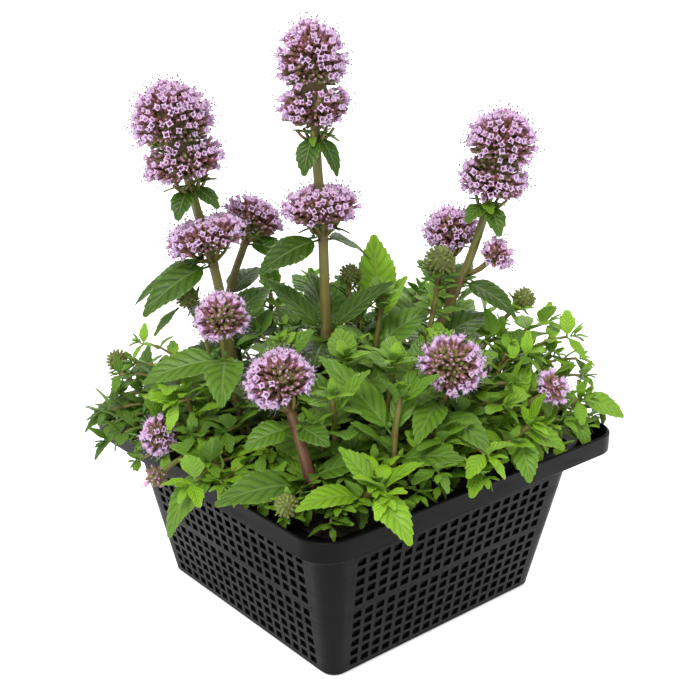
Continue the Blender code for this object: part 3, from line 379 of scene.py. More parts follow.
def cross_axes(along):
    """Two directions across a stem that runs a given way."""
    first = (Vector((1.0, 0.0, 0.0)) - along * along.x).normalized()
    return first, along.cross(first)


def spoke(axes, angle):
    """A direction across a stem, at an angle round it."""
    return axes[0] * math.cos(angle) + axes[1] * math.sin(angle)


def direction(heading, lift):
    """A unit vector by its heading and its lift above the level, in radians."""
    return Vector((math.cos(heading) * math.cos(lift), math.sin(heading) * math.cos(lift), math.sin(lift)))


class Stem:
    """A square stem along a curve."""

    def __init__(self, curve, thick_foot, thick_top):
        self.curve = curve
        self.thickness = (thick_foot, thick_top)
        self.reach = [0.0]
        for low, high in zip(curve, curve[1:]):
            self.reach.append(self.reach[-1] + (high - low).length)

    def at(self, reach):
        """The point of the middle line at a distance along it."""
        for i in range(len(self.curve) - 1):
            if self.reach[i + 1] >= reach:
                share = (reach - self.reach[i]) / (self.reach[i + 1] - self.reach[i])
                return self.curve[i].lerp(self.curve[i + 1], share)
        return self.curve[-1].copy()

    def along(self, reach):
        """The direction of the middle line at a distance along it."""
        low = self.at(max(reach - TANGENT_STEP, 0.0))
        high = self.at(min(reach + TANGENT_STEP, self.reach[-1]))
        return (high - low).normalized()

    def reach_at_height(self, z):
        for i, (low, high) in enumerate(zip(self.curve, self.curve[1:])):
            if high.z >= z:
                share = max((z - low.z) / max(high.z - low.z, 1e-6), 0.0)
                return self.reach[i] + share * (self.reach[i + 1] - self.reach[i])
        return self.reach[-1]

    def half(self, reach):
        """Half the stem's thickness at a distance along it."""
        foot, top = self.thickness
        return (foot + (top - foot) * reach / self.reach[-1]) / 2

    def root(self, height, tip):
        """Where a leaf leaves the stem's surface, on the side of its tip."""
        if height >= self.curve[-1].z:
            return self.curve[-1].copy()
        reach = self.reach_at_height(height)
        middle = self.at(reach)
        along = self.along(reach)
        out = tip - middle
        out = (out - along * out.dot(along)).normalized()
        return middle + out * self.half(reach)

    def side_angle(self, height, point):
        """The way from the middle line to a point, as an angle round the stem."""
        reach = self.reach_at_height(height)
        first, second = cross_axes(self.along(reach))
        out = point - self.at(reach)
        return math.atan2(out.dot(second), out.dot(first))


# Ways that a leaf of the solids may have been bent clear: turn, lift in degrees and size
VARIANTS = [(turn, lift, size) for size in (1.0, 0.85, 0.7) for lift in (0, 9, -9, 18, -18, 28)
            for turn in (0, 9, -9, 18, -18, 28, -28)]
VARIANTS.sort(key=lambda way: abs(way[0]) + abs(way[1]) + 90 * (1 - way[2]))


def vary(root, tip, way):
    """The leaf's tip turned, lifted and drawn in about its root."""
    turn, lift, size = way
    chord = (tip - root) * size
    heading = math.atan2(chord.y, chord.x) + math.radians(turn)
    rise = math.atan2(chord.z, math.hypot(chord.x, chord.y)) + math.radians(lift)
    return root + direction(heading, rise) * chord.length


def fits_node(nodes, z, heading, top):
    """True if a leaf of this heading finds a free face at a height."""
    if z == top:
        return z not in nodes
    if any(0 < abs(z - other) < NODE_STEP for other in nodes):
        return False
    for other in nodes.get(z, ()):
        apart = abs((heading - other + 180) % 360 - 180)
        askew = abs((heading - other + 45) % 90 - 45)
        if apart < 60 or askew > 28:
            return False
    return True


def lit_roll(root, tip, roll=0):
    """The leaf's roll, with the part that turns its face to the light."""
    chord = tip - root
    return roll + LIGHT_ROLL * chord.dot(to_world(1.0, 0.0, 0.0)) / chord.length


def spread_nodes(leaves, stem):
    """Leaves that can't share a node's faces get a node of their own a little higher or lower."""
    nodes = {}
    spread = []
    for height, *shape in leaves:
        heading = math.degrees(stem.side_angle(height, as_world(shape[0])))
        for step in range(12):
            z = height + NODE_STEP * (step + 1) // 2 * (1 if step % 2 else -1) if step else height
            z = min(z, stem.curve[-1].z)
            if fits_node(nodes, z, heading, stem.curve[-1].z):
                break
        nodes.setdefault(z, []).append(heading)
        spread.append((z, *shape))
    return spread


def fill_shoot(number, base):
    """A leafy shoot that leans outwards: three pairs of leaves and a tuft at its top."""
    rng = random.Random(FILL_SEED * 1000 + number)
    distance = math.hypot(*base) / FILL_REACH
    height = FILL_HEIGHT[1] + (FILL_HEIGHT[0] - FILL_HEIGHT[1]) * distance ** 1.5
    height *= rng.uniform(0.88, 1.12)
    outward = math.atan2(base[1], base[0])
    lean = (0.10 + 0.42 * distance ** 2) * height
    points = []
    for share in (0.0, 0.4, 0.75, 1.0):
        shift = lean * share ** 1.6
        points.append((base[0] + math.cos(outward) * shift, base[1] + math.sin(outward) * shift,
                       SOIL_TOP + height * share))
    line = Stem(smooth([to_world(*point) for point in points], 1), 1.0, 1.0)
    leaves = []
    first = rng.uniform(0, 180)
    for node, (share, usual_length, usual_lift, bend) in enumerate(FILL_PAIRS):
        z = SOIL_TOP + height * share
        root = line.at(line.reach_at_height(z))
        length = usual_length * rng.uniform(0.88, 1.12)
        for side in (0, 1):
            heading = math.radians(first + 90 * node + 180 * side + rng.uniform(-14, 14))
            lift = math.radians(usual_lift + rng.uniform(-8, 8))
            leaves.append((z, root + direction(heading, lift) * length, length * FILL_LEAF_WIDTH, bend))
    return points, *FILL_THICKNESS, leaves, 0


def fill_bases():
    """Places for the fill shoots on a sunflower spiral, clear of the named stems."""
    taken = [branches[0][0][0][:2] for branches in SHOOTS.values()]
    bases = []
    for i in range(400):
        if len(bases) == FILL_SHOOTS:
            break
        reach = FILL_REACH * math.sqrt(((i * 7) % FILL_RINGS + 0.5) / FILL_RINGS)
        angle = i * FILL_TURN
        r, n = reach * math.cos(angle), reach * math.sin(angle)
        x, y, _ = to_world(r, n, 0.0)
        if max(abs(x), abs(y)) > FILL_HALF:
            continue
        if all(math.hypot(r - a, n - b) > FILL_SPACING for a, b in taken):
            bases.append((r, n))
            taken.append((r, n))
    return bases


# Leaves that the solids had no room for: (shoot, blade)
MISSED = []


def planned_shoots():
    """Every leafy shoot: its branches with their stems, and the leaves that its solid really has."""
    shoots = dict(SHOOTS)
    for number, base in enumerate(fill_bases()):
        shoots[f"shoot_fill_{number + 1:02d}"] = [fill_shoot(number, base)]
    plan = {}
    for name, branches in shoots.items():
        corners = KDTree(len(NODES[name].data.vertices))
        for i, vertex in enumerate(NODES[name].data.vertices):
            corners.insert(vertex.co / MM, i)
        corners.balance()
        plan[name] = []
        for i, branch in enumerate(branches):
            curve = branch_curve(branch, i == 0, peg_length(name, i), 2 if name in SHOOTS else 1)
            stem = Stem(curve, branch[1], branch[2])
            leaves = []
            for height, tip, width, bend, *own_roll in spread_nodes(branch[3], stem):
                tip = as_world(tip)
                root = stem.root(height, tip)
                roll = lit_roll(root, tip, *own_roll)
                for way in VARIANTS:
                    varied = vary(root, tip, way)
                    if corners.find(varied)[2] < TIP_MATCH:
                        leaves.append((height, Blade(root, varied, width * way[2], bend, roll)))
                        break
                else:
                    MISSED.append((name, Blade(root, tip, width, bend, roll)))
            plan[name].append((stem, leaves, branch[4]))
    return plan


# ---------------------------------------------------------------- node helpers and finishes

class Wiring:
    """Adds nodes to a tree and links them, one short call each."""

    def __init__(self, tree):
        self.tree = tree

    def node(self, kind, settings=None, **inputs):
        made = self.tree.nodes.new(kind)
        for key, value in (settings or {}).items():
            setattr(made, key, value)
        for key, value in inputs.items():
            self.put(made.inputs[key.replace("_", " ")], value)
        return made

    def put(self, socket, value):
        if isinstance(value, bpy.types.NodeSocket):
            self.tree.links.new(value, socket)
        elif value is not None:
            socket.default_value = value

    def math(self, operation, *values):
        made = self.tree.nodes.new("ShaderNodeMath")
        made.operation = operation
        for socket, value in zip(made.inputs, values):
            self.put(socket, value)
        return made.outputs[0]

    def times(self, first, second):
        return self.math("MULTIPLY", first, second)

    def plus(self, first, second):
        return self.math("ADD", first, second)

    def minus(self, first, second):
        return self.math("SUBTRACT", first, second)

    def mix(self, share, first, second):
        """A colour between two colours."""
        made = self.node("ShaderNodeMix", {"data_type": "RGBA"})
        self.put(made.inputs[0], share)
        for number, value in ((6, first), (7, second)):
            self.put(made.inputs[number], value if isinstance(value, bpy.types.NodeSocket) else (*value, 1.0))
        return made.outputs[2]

    def span(self, value, low, high, to_low=0.0, to_high=1.0):
        """A value taken smoothly from one range to another."""
        made = self.node("ShaderNodeMapRange", {"interpolation_type": "SMOOTHSTEP"})
        for number, entry in enumerate((value, low, high, to_low, to_high)):
            self.put(made.inputs[number], entry)
        return made.outputs[0]

    def noise(self, scale, detail=3.0, roughness=0.5, vector=None):
        made = self.node("ShaderNodeTexNoise", Scale=scale, Detail=detail, Roughness=roughness)
        self.put(made.inputs["Vector"], vector or self.place())
        return made.outputs["Fac"]

    def place(self, stretch=None):
        """Object coordinates, stretched along the axes if asked."""
        place = self.node("ShaderNodeTexCoord").outputs["Object"]
        if stretch:
            place = self.node("ShaderNodeMapping", Vector=place, Scale=stretch).outputs[0]
        return place

    def attribute(self, name):
        return self.node("ShaderNodeAttribute", {"attribute_name": name}).outputs["Fac"]


def shader_group(name, inputs, outputs):
    """A shader node group with named sockets, its wiring and its two end nodes."""
    tree = bpy.data.node_groups.new(name, "ShaderNodeTree")
    for label, kind, default in inputs:
        socket = tree.interface.new_socket(label, in_out="INPUT", socket_type="NodeSocket" + kind)
        socket.default_value = default
    for label, kind in outputs:
        tree.interface.new_socket(label, in_out="OUTPUT", socket_type="NodeSocket" + kind)
    wiring = Wiring(tree)
    return tree, wiring, wiring.node("NodeGroupInput").outputs, wiring.node("NodeGroupOutput").inputs


def start_material(name, roughness, **constants):
    """A material with its Principled BSDF, and the wiring of its tree."""
    material = bpy.data.materials.new(name)
    material.use_nodes = True
    shader = material.node_tree.nodes["Principled BSDF"]
    shader.inputs["Roughness"].default_value = roughness
    for key, value in constants.items():
        shader.inputs[key.replace("_", " ")].default_value = value
    return material, Wiring(material.node_tree), shader


def add_bump(w, shader, height, strength, distance_mm):
    bump = w.node("ShaderNodeBump", Strength=strength, Distance=distance_mm * MM, Height=height)
    w.put(shader.inputs["Normal"], bump.outputs[0])


def mottled(w, groups, colour, scale, amount, shader=None):
    """The mottle group's outputs for a colour, which becomes the shader's own if one is given."""
    outputs = w.node("ShaderNodeGroup", {"node_tree": groups["mottle"]}, Color=colour, Scale=scale,
                     Amount=amount).outputs
    if shader:
        w.put(shader.inputs["Base Color"], outputs["Color"])
    return outputs


def mottle_group():
    """Large and fine mottling of a colour, shared by every finish."""
    tree, w, given, out = shader_group(
        "mottle",
        [("Color", "Color", (0.5, 0.5, 0.5, 1)), ("Scale", "Float", 60.0), ("Amount", "Float", 0.3)],
        [("Color", "Color"), ("Height", "Float")])
    broad = w.noise(given["Scale"], 2.0)
    fine = w.noise(w.times(given["Scale"], 9.0), 4.0, 0.6)
    both = w.plus(w.times(broad, 0.65), w.times(fine, 0.35))
    swing = w.times(w.minus(both, 0.5), w.times(given["Amount"], 2.4))
    shade = w.plus(swing, 1.0)
    scaled = w.node("ShaderNodeVectorMath", {"operation": "SCALE"})
    w.put(scaled.inputs[0], given["Color"])
    w.put(scaled.inputs["Scale"], shade)
    w.put(out["Color"], scaled.outputs[0])
    w.put(out["Height"], fine)
    return tree


def vein_group():
    """Midrib, side veins that curve forwards, and the swell between them, from a leaf's own UV."""
    tree, w, given, out = shader_group(
        "leaf veins", [("Pairs", "Float", VEIN_PAIRS), ("Sweep", "Float", VEIN_SWEEP)],
        [(label, "Float") for label in ("Veins", "Midrib", "Swell", "Margin")])
    parts = w.node("ShaderNodeSeparateXYZ", Vector=w.node("ShaderNodeUVMap", {"uv_map": "leaf"}).outputs[0])
    side = w.math("ABSOLUTE", w.minus(w.times(parts.outputs[1], 2.0), 1.0))
    swept = w.minus(parts.outputs[0], w.times(given["Sweep"], w.math("POWER", side, 0.85)))
    off = w.times(w.math("PINGPONG", w.times(swept, given["Pairs"]), 0.5), 2.0)
    fine = w.span(side, 0.2, 1.0, 0.18, 0.07)
    branch = w.minus(1.0, w.span(off, 0.0, fine))
    branch = w.times(branch, w.span(side, 0.75, 0.98, 1.0, 0.25))
    midrib = w.minus(1.0, w.span(side, 0.02, 0.10))
    w.put(out["Veins"], w.times(branch, w.minus(1.0, midrib)))
    w.put(out["Midrib"], midrib)
    w.put(out["Swell"], w.times(w.span(off, 0.0, 0.9), w.span(side, 0.0, 0.2)))
    w.put(out["Margin"], w.span(side, 0.90, 1.0))
    return tree


def leaf_material(colours, groups):
    """Dark to bright green by the leaf's tone, paler below, with a pale midrib, a painted highlight on the
    swells between the veins, and painted shade in the sunken side veins and the grooves beside them.
    """
    material, w, shader = start_material(
        "mint_leaf", 0.38, Subsurface_Weight=0.08, Subsurface_Radius=(0.4, 1.0, 0.10),
        Subsurface_Scale=0.0012, Specular_IOR_Level=0.24)
    tone = w.attribute("tone")
    under = w.attribute("under")
    veins = w.node("ShaderNodeGroup", {"node_tree": groups["veins"]}).outputs
    dark = w.mix(w.span(tone, 0.0, 0.5), colours.leaf_dark, colours.leaf_middle)
    green = w.mix(w.span(tone, 0.45, 1.0), dark, colours.leaf_bright)
    patched = mottled(w, groups, green, 110.0, 0.30)
    # Painted highlight: the swells between the veins are mixed towards a brighter green.
    swell = w.mix(w.times(veins["Swell"], 0.22), patched["Color"], w.mix(0.35, green, colours.leaf_bright))
    # Painted shade: beside the veins, away from the swells, the green is darkened towards the dark leaf
    # colour.
    groove_shaded = w.mix(w.times(w.minus(1.0, veins["Swell"]), 0.18), swell, colours.leaf_dark)
    # Painted shade: the sunken side veins are darkened towards the dark leaf colour, more on dark leaves.
    vein_shaded = w.mix(w.times(veins["Veins"], w.span(tone, 0.2, 1.0, 0.50, 0.24)), groove_shaded, colours.leaf_dark)
    veined = w.mix(w.times(veins["Midrib"], w.span(tone, 0.1, 0.9, 0.26, 0.45)), vein_shaded, colours.leaf_vein)
    edged = w.mix(w.times(veins["Margin"], 0.14), veined, colours.leaf_vein)
    below = w.mix(w.times(under, 0.45), edged, colours.leaf_under)
    w.put(shader.inputs["Base Color"], below)
    rough = w.plus(w.times(under, 0.18), w.span(patched["Height"], 0.3, 0.7, 0.26, 0.40))
    w.put(shader.inputs["Roughness"], rough)
    net = w.node("ShaderNodeTexVoronoi", {"feature": "DISTANCE_TO_EDGE"}, Scale=900.0, Vector=w.place())
    cells = w.span(net.outputs["Distance"], 0.0, 0.22)
    height = w.plus(w.times(cells, 0.22), w.times(veins["Swell"], 0.6))
    height = w.minus(height, w.times(veins["Veins"], 0.85))
    height = w.minus(height, w.times(veins["Midrib"], 0.6))
    facing = w.minus(1.0, w.times(under, 1.6))
    add_bump(w, shader, w.times(height, facing), 0.5, 0.45)
    return material


def stem_material(colours, groups):
    """Olive stems streaked lengthwise, reddish at the foot and the nodes."""
    material, w, shader = start_material("mint_stem", 0.45, Specular_IOR_Level=0.4)
    streak = w.noise(220.0, 3.0, 0.6, w.place((1.0, 1.0, 0.08)))
    olive = w.mix(w.span(streak, 0.35, 0.65), colours.stem_olive, colours.stem_tan)
    red = w.mix(w.attribute("tone"), olive, colours.stem_red)
    patched = mottled(w, groups, red, 160.0, 0.25, shader)
    add_bump(w, shader, w.plus(streak, patched["Height"]), 0.4, 0.25)
    return material


def corolla_material(colours, groups):
    """Lilac florets: pink tube, pale lobes and painted shade in the throat, each a little different."""
    material, w, shader = start_material(
        "floret", 0.55, Subsurface_Weight=0.2, Subsurface_Radius=(1.0, 0.5, 0.9), Subsurface_Scale=0.0012)
    along = w.attribute("along")
    tone = w.attribute("tone")
    tube = w.mix(w.span(along, 0.0, 0.55), colours.floret_tube, colours.floret_body)
    lobe = w.mix(w.span(along, 0.5, 1.0), tube, colours.floret_rim)
    pinker = w.mix(w.times(tone, 0.45), lobe, colours.floret_pink)
    # Painted shade: the inner rings of the mouth, and a bud's foot, are darkened by the throat attribute.
    deep = w.mix(w.attribute("throat"), pinker, colours.floret_throat_shade)
    patched = mottled(w, groups, deep, 400.0, 0.16, shader)
    add_bump(w, shader, patched["Height"], 0.25, 0.1)
    return material


def calyx_material(colours, groups):
    """Maroon calyces with rosy teeth, olive to lime where they are green."""
    material, w, shader = start_material("calyx", 0.55, Specular_IOR_Level=0.25)
    green = w.attribute("green")
    tone = w.attribute("tone")
    maroon = w.mix(tone, colours.calyx_maroon, colours.calyx_brown)
    olive = w.mix(tone, colours.calyx_olive, colours.calyx_lime)
    base = w.mix(green, maroon, olive)
    rosy = w.times(w.span(w.attribute("along"), 0.55, 1.0), w.span(green, 0.3, 0.9, 0.45, 0.05))
    tipped = w.mix(rosy, base, colours.calyx_tip)
    patched = mottled(w, groups, tipped, 500.0, 0.5, shader)
    add_bump(w, shader, patched["Height"], 0.5, 0.2)
    return material


def stamen_material(colours, groups):
    """Pale filaments that end in dark anthers."""
    material, w, shader = start_material("stamen", 0.6)
    colour = w.mix(w.span(w.attribute("along"), 0.7, 0.9), colours.floret_rim, colours.anther)
    mottled(w, groups, colour, 900.0, 0.2, shader)
    return material


def plastic_material(colour, groups):
    """Charcoal black moulded plastic with a fine grain and faint scuffs."""
    material, w, shader = start_material("black_plastic", 0.42, Specular_IOR_Level=0.10)
    mottled(w, groups, (*colour, 1.0), 25.0, 0.35, shader)
    scuff = w.noise(90.0, 5.0, 0.7, w.place((0.25, 0.25, 2.0)))
    w.put(shader.inputs["Roughness"], w.span(scuff, 0.35, 0.75, 0.36, 0.52))
    add_bump(w, shader, w.noise(2600.0, 2.0), 0.12, 0.05)
    return material


def soil_material(colour, groups):
    """Dark, damp compost with paler fibres."""
    material, w, shader = start_material("compost", 0.9)
    fibre = w.span(w.noise(420.0, 5.0, 0.7, w.place((1.0, 0.3, 1.0))), 0.55, 0.75)
    patched = mottled(w, groups, (*colour, 1.0), 180.0, 0.9)
    w.put(shader.inputs["Base Color"], w.mix(w.times(fibre, 0.5), patched["Color"], (0.11, 0.065, 0.035)))
    w.put(shader.inputs["Roughness"], w.span(fibre, 0.0, 1.0, 0.95, 0.7))
    add_bump(w, shader, patched["Height"], 0.9, 1.2)
    return material


def water_material():
    """Clear water drops."""
    material, w, shader = start_material("water", 0.02, IOR=1.33, Transmission_Weight=1.0)
    w.put(shader.inputs["Base Color"], w.mix(w.noise(300.0), (0.97, 1.0, 0.97), (0.92, 0.98, 0.93)))
    return material


# ---------------------------------------------------------------- leaves and stems

def tube_faces(rings, sides, capped=True):
    """Faces of a tube through rings of points, with a face on each end if it is capped."""
    faces = [tuple(range(sides))[::-1]] if capped else []
    for low in range(0, (rings - 1) * sides, sides):
        for i in range(sides):
            j = (i + 1) % sides
            faces.append((low + i, low + j, low + sides + j, low + sides + i))
    if capped:
        faces.append(tuple(range((rings - 1) * sides, rings * sides)))
    return faces


class Gathered:
    """Points and faces of many parts, with the attributes that the finishes read, as one mesh."""

    def __init__(self):
        self.points = []
        self.faces = []
        self.uv = []
        self.tone = []
        self.margin = []
        self.under = []
        self.finish = []
        self.green = []
        self.count = 0

    def add(self, points, faces, tone, finish, uv=None, margin=None, under=None, green=0.0):
        total = len(points)
        self.points.append(np.asarray(points, float))
        self.faces.extend([tuple(self.count + i for i in face) for face in faces])
        self.uv.append(np.zeros((total, 2)) if uv is None else uv)
        self.tone.append(np.broadcast_to(tone, total))
        self.green.append(np.full(total, green))
        self.margin.append(np.zeros(total, bool) if margin is None else margin)
        self.under.extend([0.0] * len(faces) if under is None else under)
        self.finish.extend([finish] * len(faces))
        self.count += total

    def mesh(self, name, materials):
        mesh = bpy.data.meshes.new(name)
        mesh.from_pydata((np.concatenate(self.points) * MM).tolist(), [], self.faces)
        corner = np.empty(len(mesh.loops), np.int32)
        mesh.loops.foreach_get("vertex_index", corner)
        layer = mesh.uv_layers.new(name="leaf")
        layer.data.foreach_set("uv", np.concatenate(self.uv)[corner].ravel())
        for label, values in (("tone", self.tone), ("green", self.green)):
            mesh.attributes.new(label, "FLOAT", "POINT").data.foreach_set("value", np.concatenate(values))
        mesh.attributes.new("under", "FLOAT", "FACE").data.foreach_set("value", self.under)
        ends = np.empty(2 * len(mesh.edges), np.int32)
        mesh.edges.foreach_get("vertices", ends)
        sharp = np.concatenate(self.margin)[ends.reshape(-1, 2)].all(axis=1)
        mesh.attributes.new("sharp_edge", "BOOLEAN", "EDGE").data.foreach_set("value", sharp)
        for material in materials:
            mesh.materials.append(material)
        mesh.polygons.foreach_set("material_index", self.finish)
        mesh.polygons.foreach_set("use_smooth", [True] * len(mesh.polygons))
        mesh.update()
        return mesh


def placed(name, data):
    """A new object in the scene."""
    item = bpy.data.objects.new(name, data)
    bpy.context.scene.collection.objects.link(item)
    return item


def baked(name, bm):
    """The mesh of a bmesh, which is freed."""
    mesh = bpy.data.meshes.new(name)
    bm.to_mesh(mesh)
    bm.free()
    return mesh


def add_piece(name, mesh, slot, *nodes):
    """A finished piece that rides on the one body and stands for the named solids."""
    piece = placed(name, mesh)
    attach(piece, BODY)
    if nodes:
        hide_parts(*nodes)


class Blade:
    """The arched, folded shape of a leaf, from its root and tip."""

    def __init__(self, root, tip, width, bend, roll):
        chord = tip - root
        self.root = root
        self.tip = tip
        self.bend = math.radians(max(bend, 1.0))
        self.length = chord.length * (self.bend / 2) / math.sin(self.bend / 2)
        heading = math.atan2(chord.y, chord.x)
        self.lift = math.atan2(chord.z, math.hypot(chord.x, chord.y)) + self.bend / 2
        self.ahead = np.array((math.cos(heading), math.sin(heading), 0.0))
        self.across = np.array((-math.sin(heading), math.cos(heading), 0.0))
        self.width = width
        self.roll = math.radians(roll)

    def frame(self, t):
        """Middles, sideways and upward directions at shares t of the length, as arrays."""
        angle = self.lift - self.bend * t
        run = (math.sin(self.lift) - np.sin(angle)) / self.bend
        rise = (np.cos(angle) - math.cos(self.lift)) / self.bend
        upright = np.array((0.0, 0.0, 1.0))
        middle = np.array(self.root) + (run[..., None] * self.ahead + rise[..., None] * upright) * self.length
        along = np.cos(angle)[..., None] * self.ahead + np.sin(angle)[..., None] * upright
        up = np.cross(along, self.across)
        across = self.across * math.cos(self.roll) + up * math.sin(self.roll)
        return middle, across, np.cross(along, across)

    def outline(self):
        """A coarse sheet of the leaf, for keeping others clear of it."""
        middle, across, up = self.frame(np.array((0.15, 0.4, 0.72, 1.0)))
        half = self.width / 2 * np.array((0.4, 1.0, 0.75))[:, None]
        lift = half * math.sin(math.radians(FOLD))
        points = [middle[0]]
        for i in range(3):
            points.extend([middle[i], middle[i] + across[i] * half[i] + up[i] * lift[i],
                           middle[i] - across[i] * half[i] + up[i] * lift[i]])
        points.append(middle[3])
        faces = [(1, 2, 5, 4), (1, 4, 6, 3), (4, 5, 8, 7), (4, 7, 9, 6), (7, 8, 10), (7, 10, 9)]
        return [tuple(point) for point in points], faces


def half_width(u):
    """Half the width of a mint leaf, as a share, at shares u along its blade."""
    return np.sin(np.pi * np.clip(u, 1e-6, 1 - 1e-6) ** 0.66) ** 0.85


def sheet_faces(rows, columns):
    """Faces of a closed leaf: upper grid, lower grid that shares its margins, tip and root."""
    upper = [[i * columns + j for j in range(columns)] for i in range(rows)]
    first = rows * columns
    inner = columns - 2
    lower = [[upper[i][0], *range(first + i * inner, first + (i + 1) * inner), upper[i][-1]]
             for i in range(rows)]
    tip = first + rows * inner
    faces = []
    for grid in (upper, lower):
        for i in range(rows - 1):
            for j in range(columns - 1):
                faces.append((grid[i][j], grid[i + 1][j], grid[i + 1][j + 1], grid[i][j + 1]))
        for j in range(columns - 1):
            faces.append((grid[-1][j], tip, grid[-1][j + 1]))
    half = len(faces) // 2
    faces[half:] = [face[::-1] for face in faces[half:]]
    faces.append((*upper[0], *lower[0][-2:0:-1]))
    return faces, [0.0] * half + [1.0] * (half + 1)


SHEETS = {}


def add_leaf(gathered, blade, tone, seed, finish=0):
    """A thin closed leaf with saw teeth, a swell between its side veins and a wavy margin."""
    rng = random.Random(seed)
    small = blade.length < SMALL_LEAF
    teeth = max(3, round(blade.length / (SMALL_TOOTH_STEP if small else TOOTH_STEP)))
    sides = (1.0,) if blade.length < TINY_LEAF else (0.55, 1.0) if small else (0.16, 0.5, 0.84, 1.0)
    s = np.array([*[-side for side in sides[::-1]], 0.0, *sides])
    step = 0.95 / teeth
    u = np.array([-0.11, -0.05, 0.0,
                  *[0.03 + step * (k + part) for k in range(teeth) for part in (0.0, 0.66)]])
    edge = np.array([1.0, 1.0, 1.0, *[1 - TOOTH_DEPTH, 1 + TOOTH_DEPTH * 0.4] * teeth])
    tooth = np.array([0.0, 0.0, 0.0, *[0.0, 0.30 * step] * teeth])
    t = PETIOLE_SHARE + u * (1 - PETIOLE_SHARE)
    rim = (np.abs(s) == 1.0)
    spread_t = t[:, None] + (tooth * (1 - PETIOLE_SHARE))[:, None] * rim
    middle, across, up = blade.frame(spread_t)
    petiole = min(0.62, 0.055 * blade.width + 0.12)
    half = np.maximum(half_width(u) * blade.width / 2 * (u > 0), petiole)
    x = half[:, None] * s * np.where(rim, edge[:, None], 1.0)
    fold = math.radians(FOLD * rng.uniform(0.7, 1.25))
    swept = u[:, None] - VEIN_SWEEP * np.abs(s) ** 0.85
    off = np.abs((swept * VEIN_PAIRS + 0.5) % 1.0 - 0.5) * 2
    swell = off * (1 - s ** 4) * np.minimum(np.abs(s) / 0.15, 1.0) * blade.width * SWELL
    wave = blade.width * WAVE * s ** 2 * np.sin(13.0 * u[:, None] + rng.uniform(0, 6.3) + 1.5 * np.sign(s))
    on_blade = (u > 0)[:, None]
    droop = -DROOP * half[:, None] * np.abs(s) ** 3
    y = np.abs(x) * math.sin(fold) * on_blade + (swell + wave + droop) * on_blade
    x = x * math.cos(fold)
    thin = np.where(on_blade, THIN + MIDRIB * (s == 0), petiole * 0.8) * (1 - np.abs(s) ** 2)
    places = middle + across * x[..., None] + up * y[..., None]
    upper = places + up * thin[..., None]
    lower = (places - up * (thin * (1 + 0.8 * (s == 0)))[..., None])[:, 1:-1]
    tip = blade.frame(np.array([1.0]))[0]
    points = np.concatenate([upper.reshape(-1, 3), lower.reshape(-1, 3), tip])
    uv_upper = np.stack(np.broadcast_arrays(u[:, None], (s + 1) / 2), axis=-1)
    uv = np.concatenate([uv_upper.reshape(-1, 2), uv_upper[:, 1:-1].reshape(-1, 2), [(1.0, 0.5)]])
    margin = np.concatenate([np.broadcast_to(rim, x.shape).ravel(), np.zeros(lower[..., 0].size, bool),
                             [True]])
    key = x.shape
    if key not in SHEETS:
        SHEETS[key] = sheet_faces(*key)
    faces, under = SHEETS[key]
    gathered.add(points, faces, tone + rng.uniform(-0.08, 0.08), finish, uv, margin, under)


def add_stem(gathered, stem, nodes, red, finish=1, spacing=3.5):
    """A square stem with rounded edges and furrowed faces, swollen and redder at its nodes."""
    line = Stem(smooth(stem.curve, 2), *stem.thickness)
    total = line.reach[-1]
    marks = [line.reach_at_height(z) for z in nodes]
    stations = sorted({0.0, total, *np.arange(spacing, total - 1.0, spacing),
                       *[m + step for m in marks for step in (-1.6, 0.0, 1.6) if 0 < m + step < total]})
    section = []
    for quarter in range(4):
        turn = Matrix.Rotation(math.pi / 2 * quarter, 2)
        section.extend([turn @ Vector(corner) for corner in ((1.0, -0.76), (0.91, 0.0), (1.0, 0.76))])
    points = []
    tones = []
    for reach in stations:
        near = max([0.0, *[1 - abs(reach - m) / 2.2 for m in marks]])
        half = line.half(reach) * (1 + 0.13 * near)
        first, second = cross_axes(line.along(reach))
        middle = line.at(reach)
        points.extend([middle + (first * a + second * b) * half for a, b in section])
        share = reach / total
        tones.extend([min(1.0, red * (1.1 - 0.6 * share) + 0.45 * near)] * len(section))
    gathered.add(points, tube_faces(len(stations), len(section)), np.array(tones), finish)


class Clearance:
    """What is already placed, so that the next leaf can be kept clear of it."""

    def __init__(self, names):
        points = []
        faces = []
        for name in names:
            mesh = NODES[name].data
            first = len(points)
            points.extend([vertex.co / MM for vertex in mesh.vertices])
            faces.extend([tuple(first + i for i in face.vertices) for face in mesh.polygons])
        self.solids = BVHTree.FromPolygons(points, faces)
        self.trees = []
        self.low = np.zeros((0, 3))
        self.high = np.zeros((0, 3))

    def is_free(self, points, faces):
        tree = BVHTree.FromPolygons(points, faces)
        if tree.overlap(self.solids):
            return None
        low = np.min(points, axis=0)
        high = np.max(points, axis=0)
        near = np.nonzero(((self.low < high) & (self.high > low)).all(axis=1))[0]
        if any(tree.overlap(self.trees[i]) for i in near):
            return None
        return tree

    def add(self, points, tree):
        self.trees.append(tree)
        self.low = np.vstack([self.low, np.min(points, axis=0)])
        self.high = np.vstack([self.high, np.max(points, axis=0)])


def inside_box(point):
    low, high = CAD_BOX
    return all(low[a] / MM - 1.0 < point[a] < high[a] / MM + 1.0 for a in range(3))


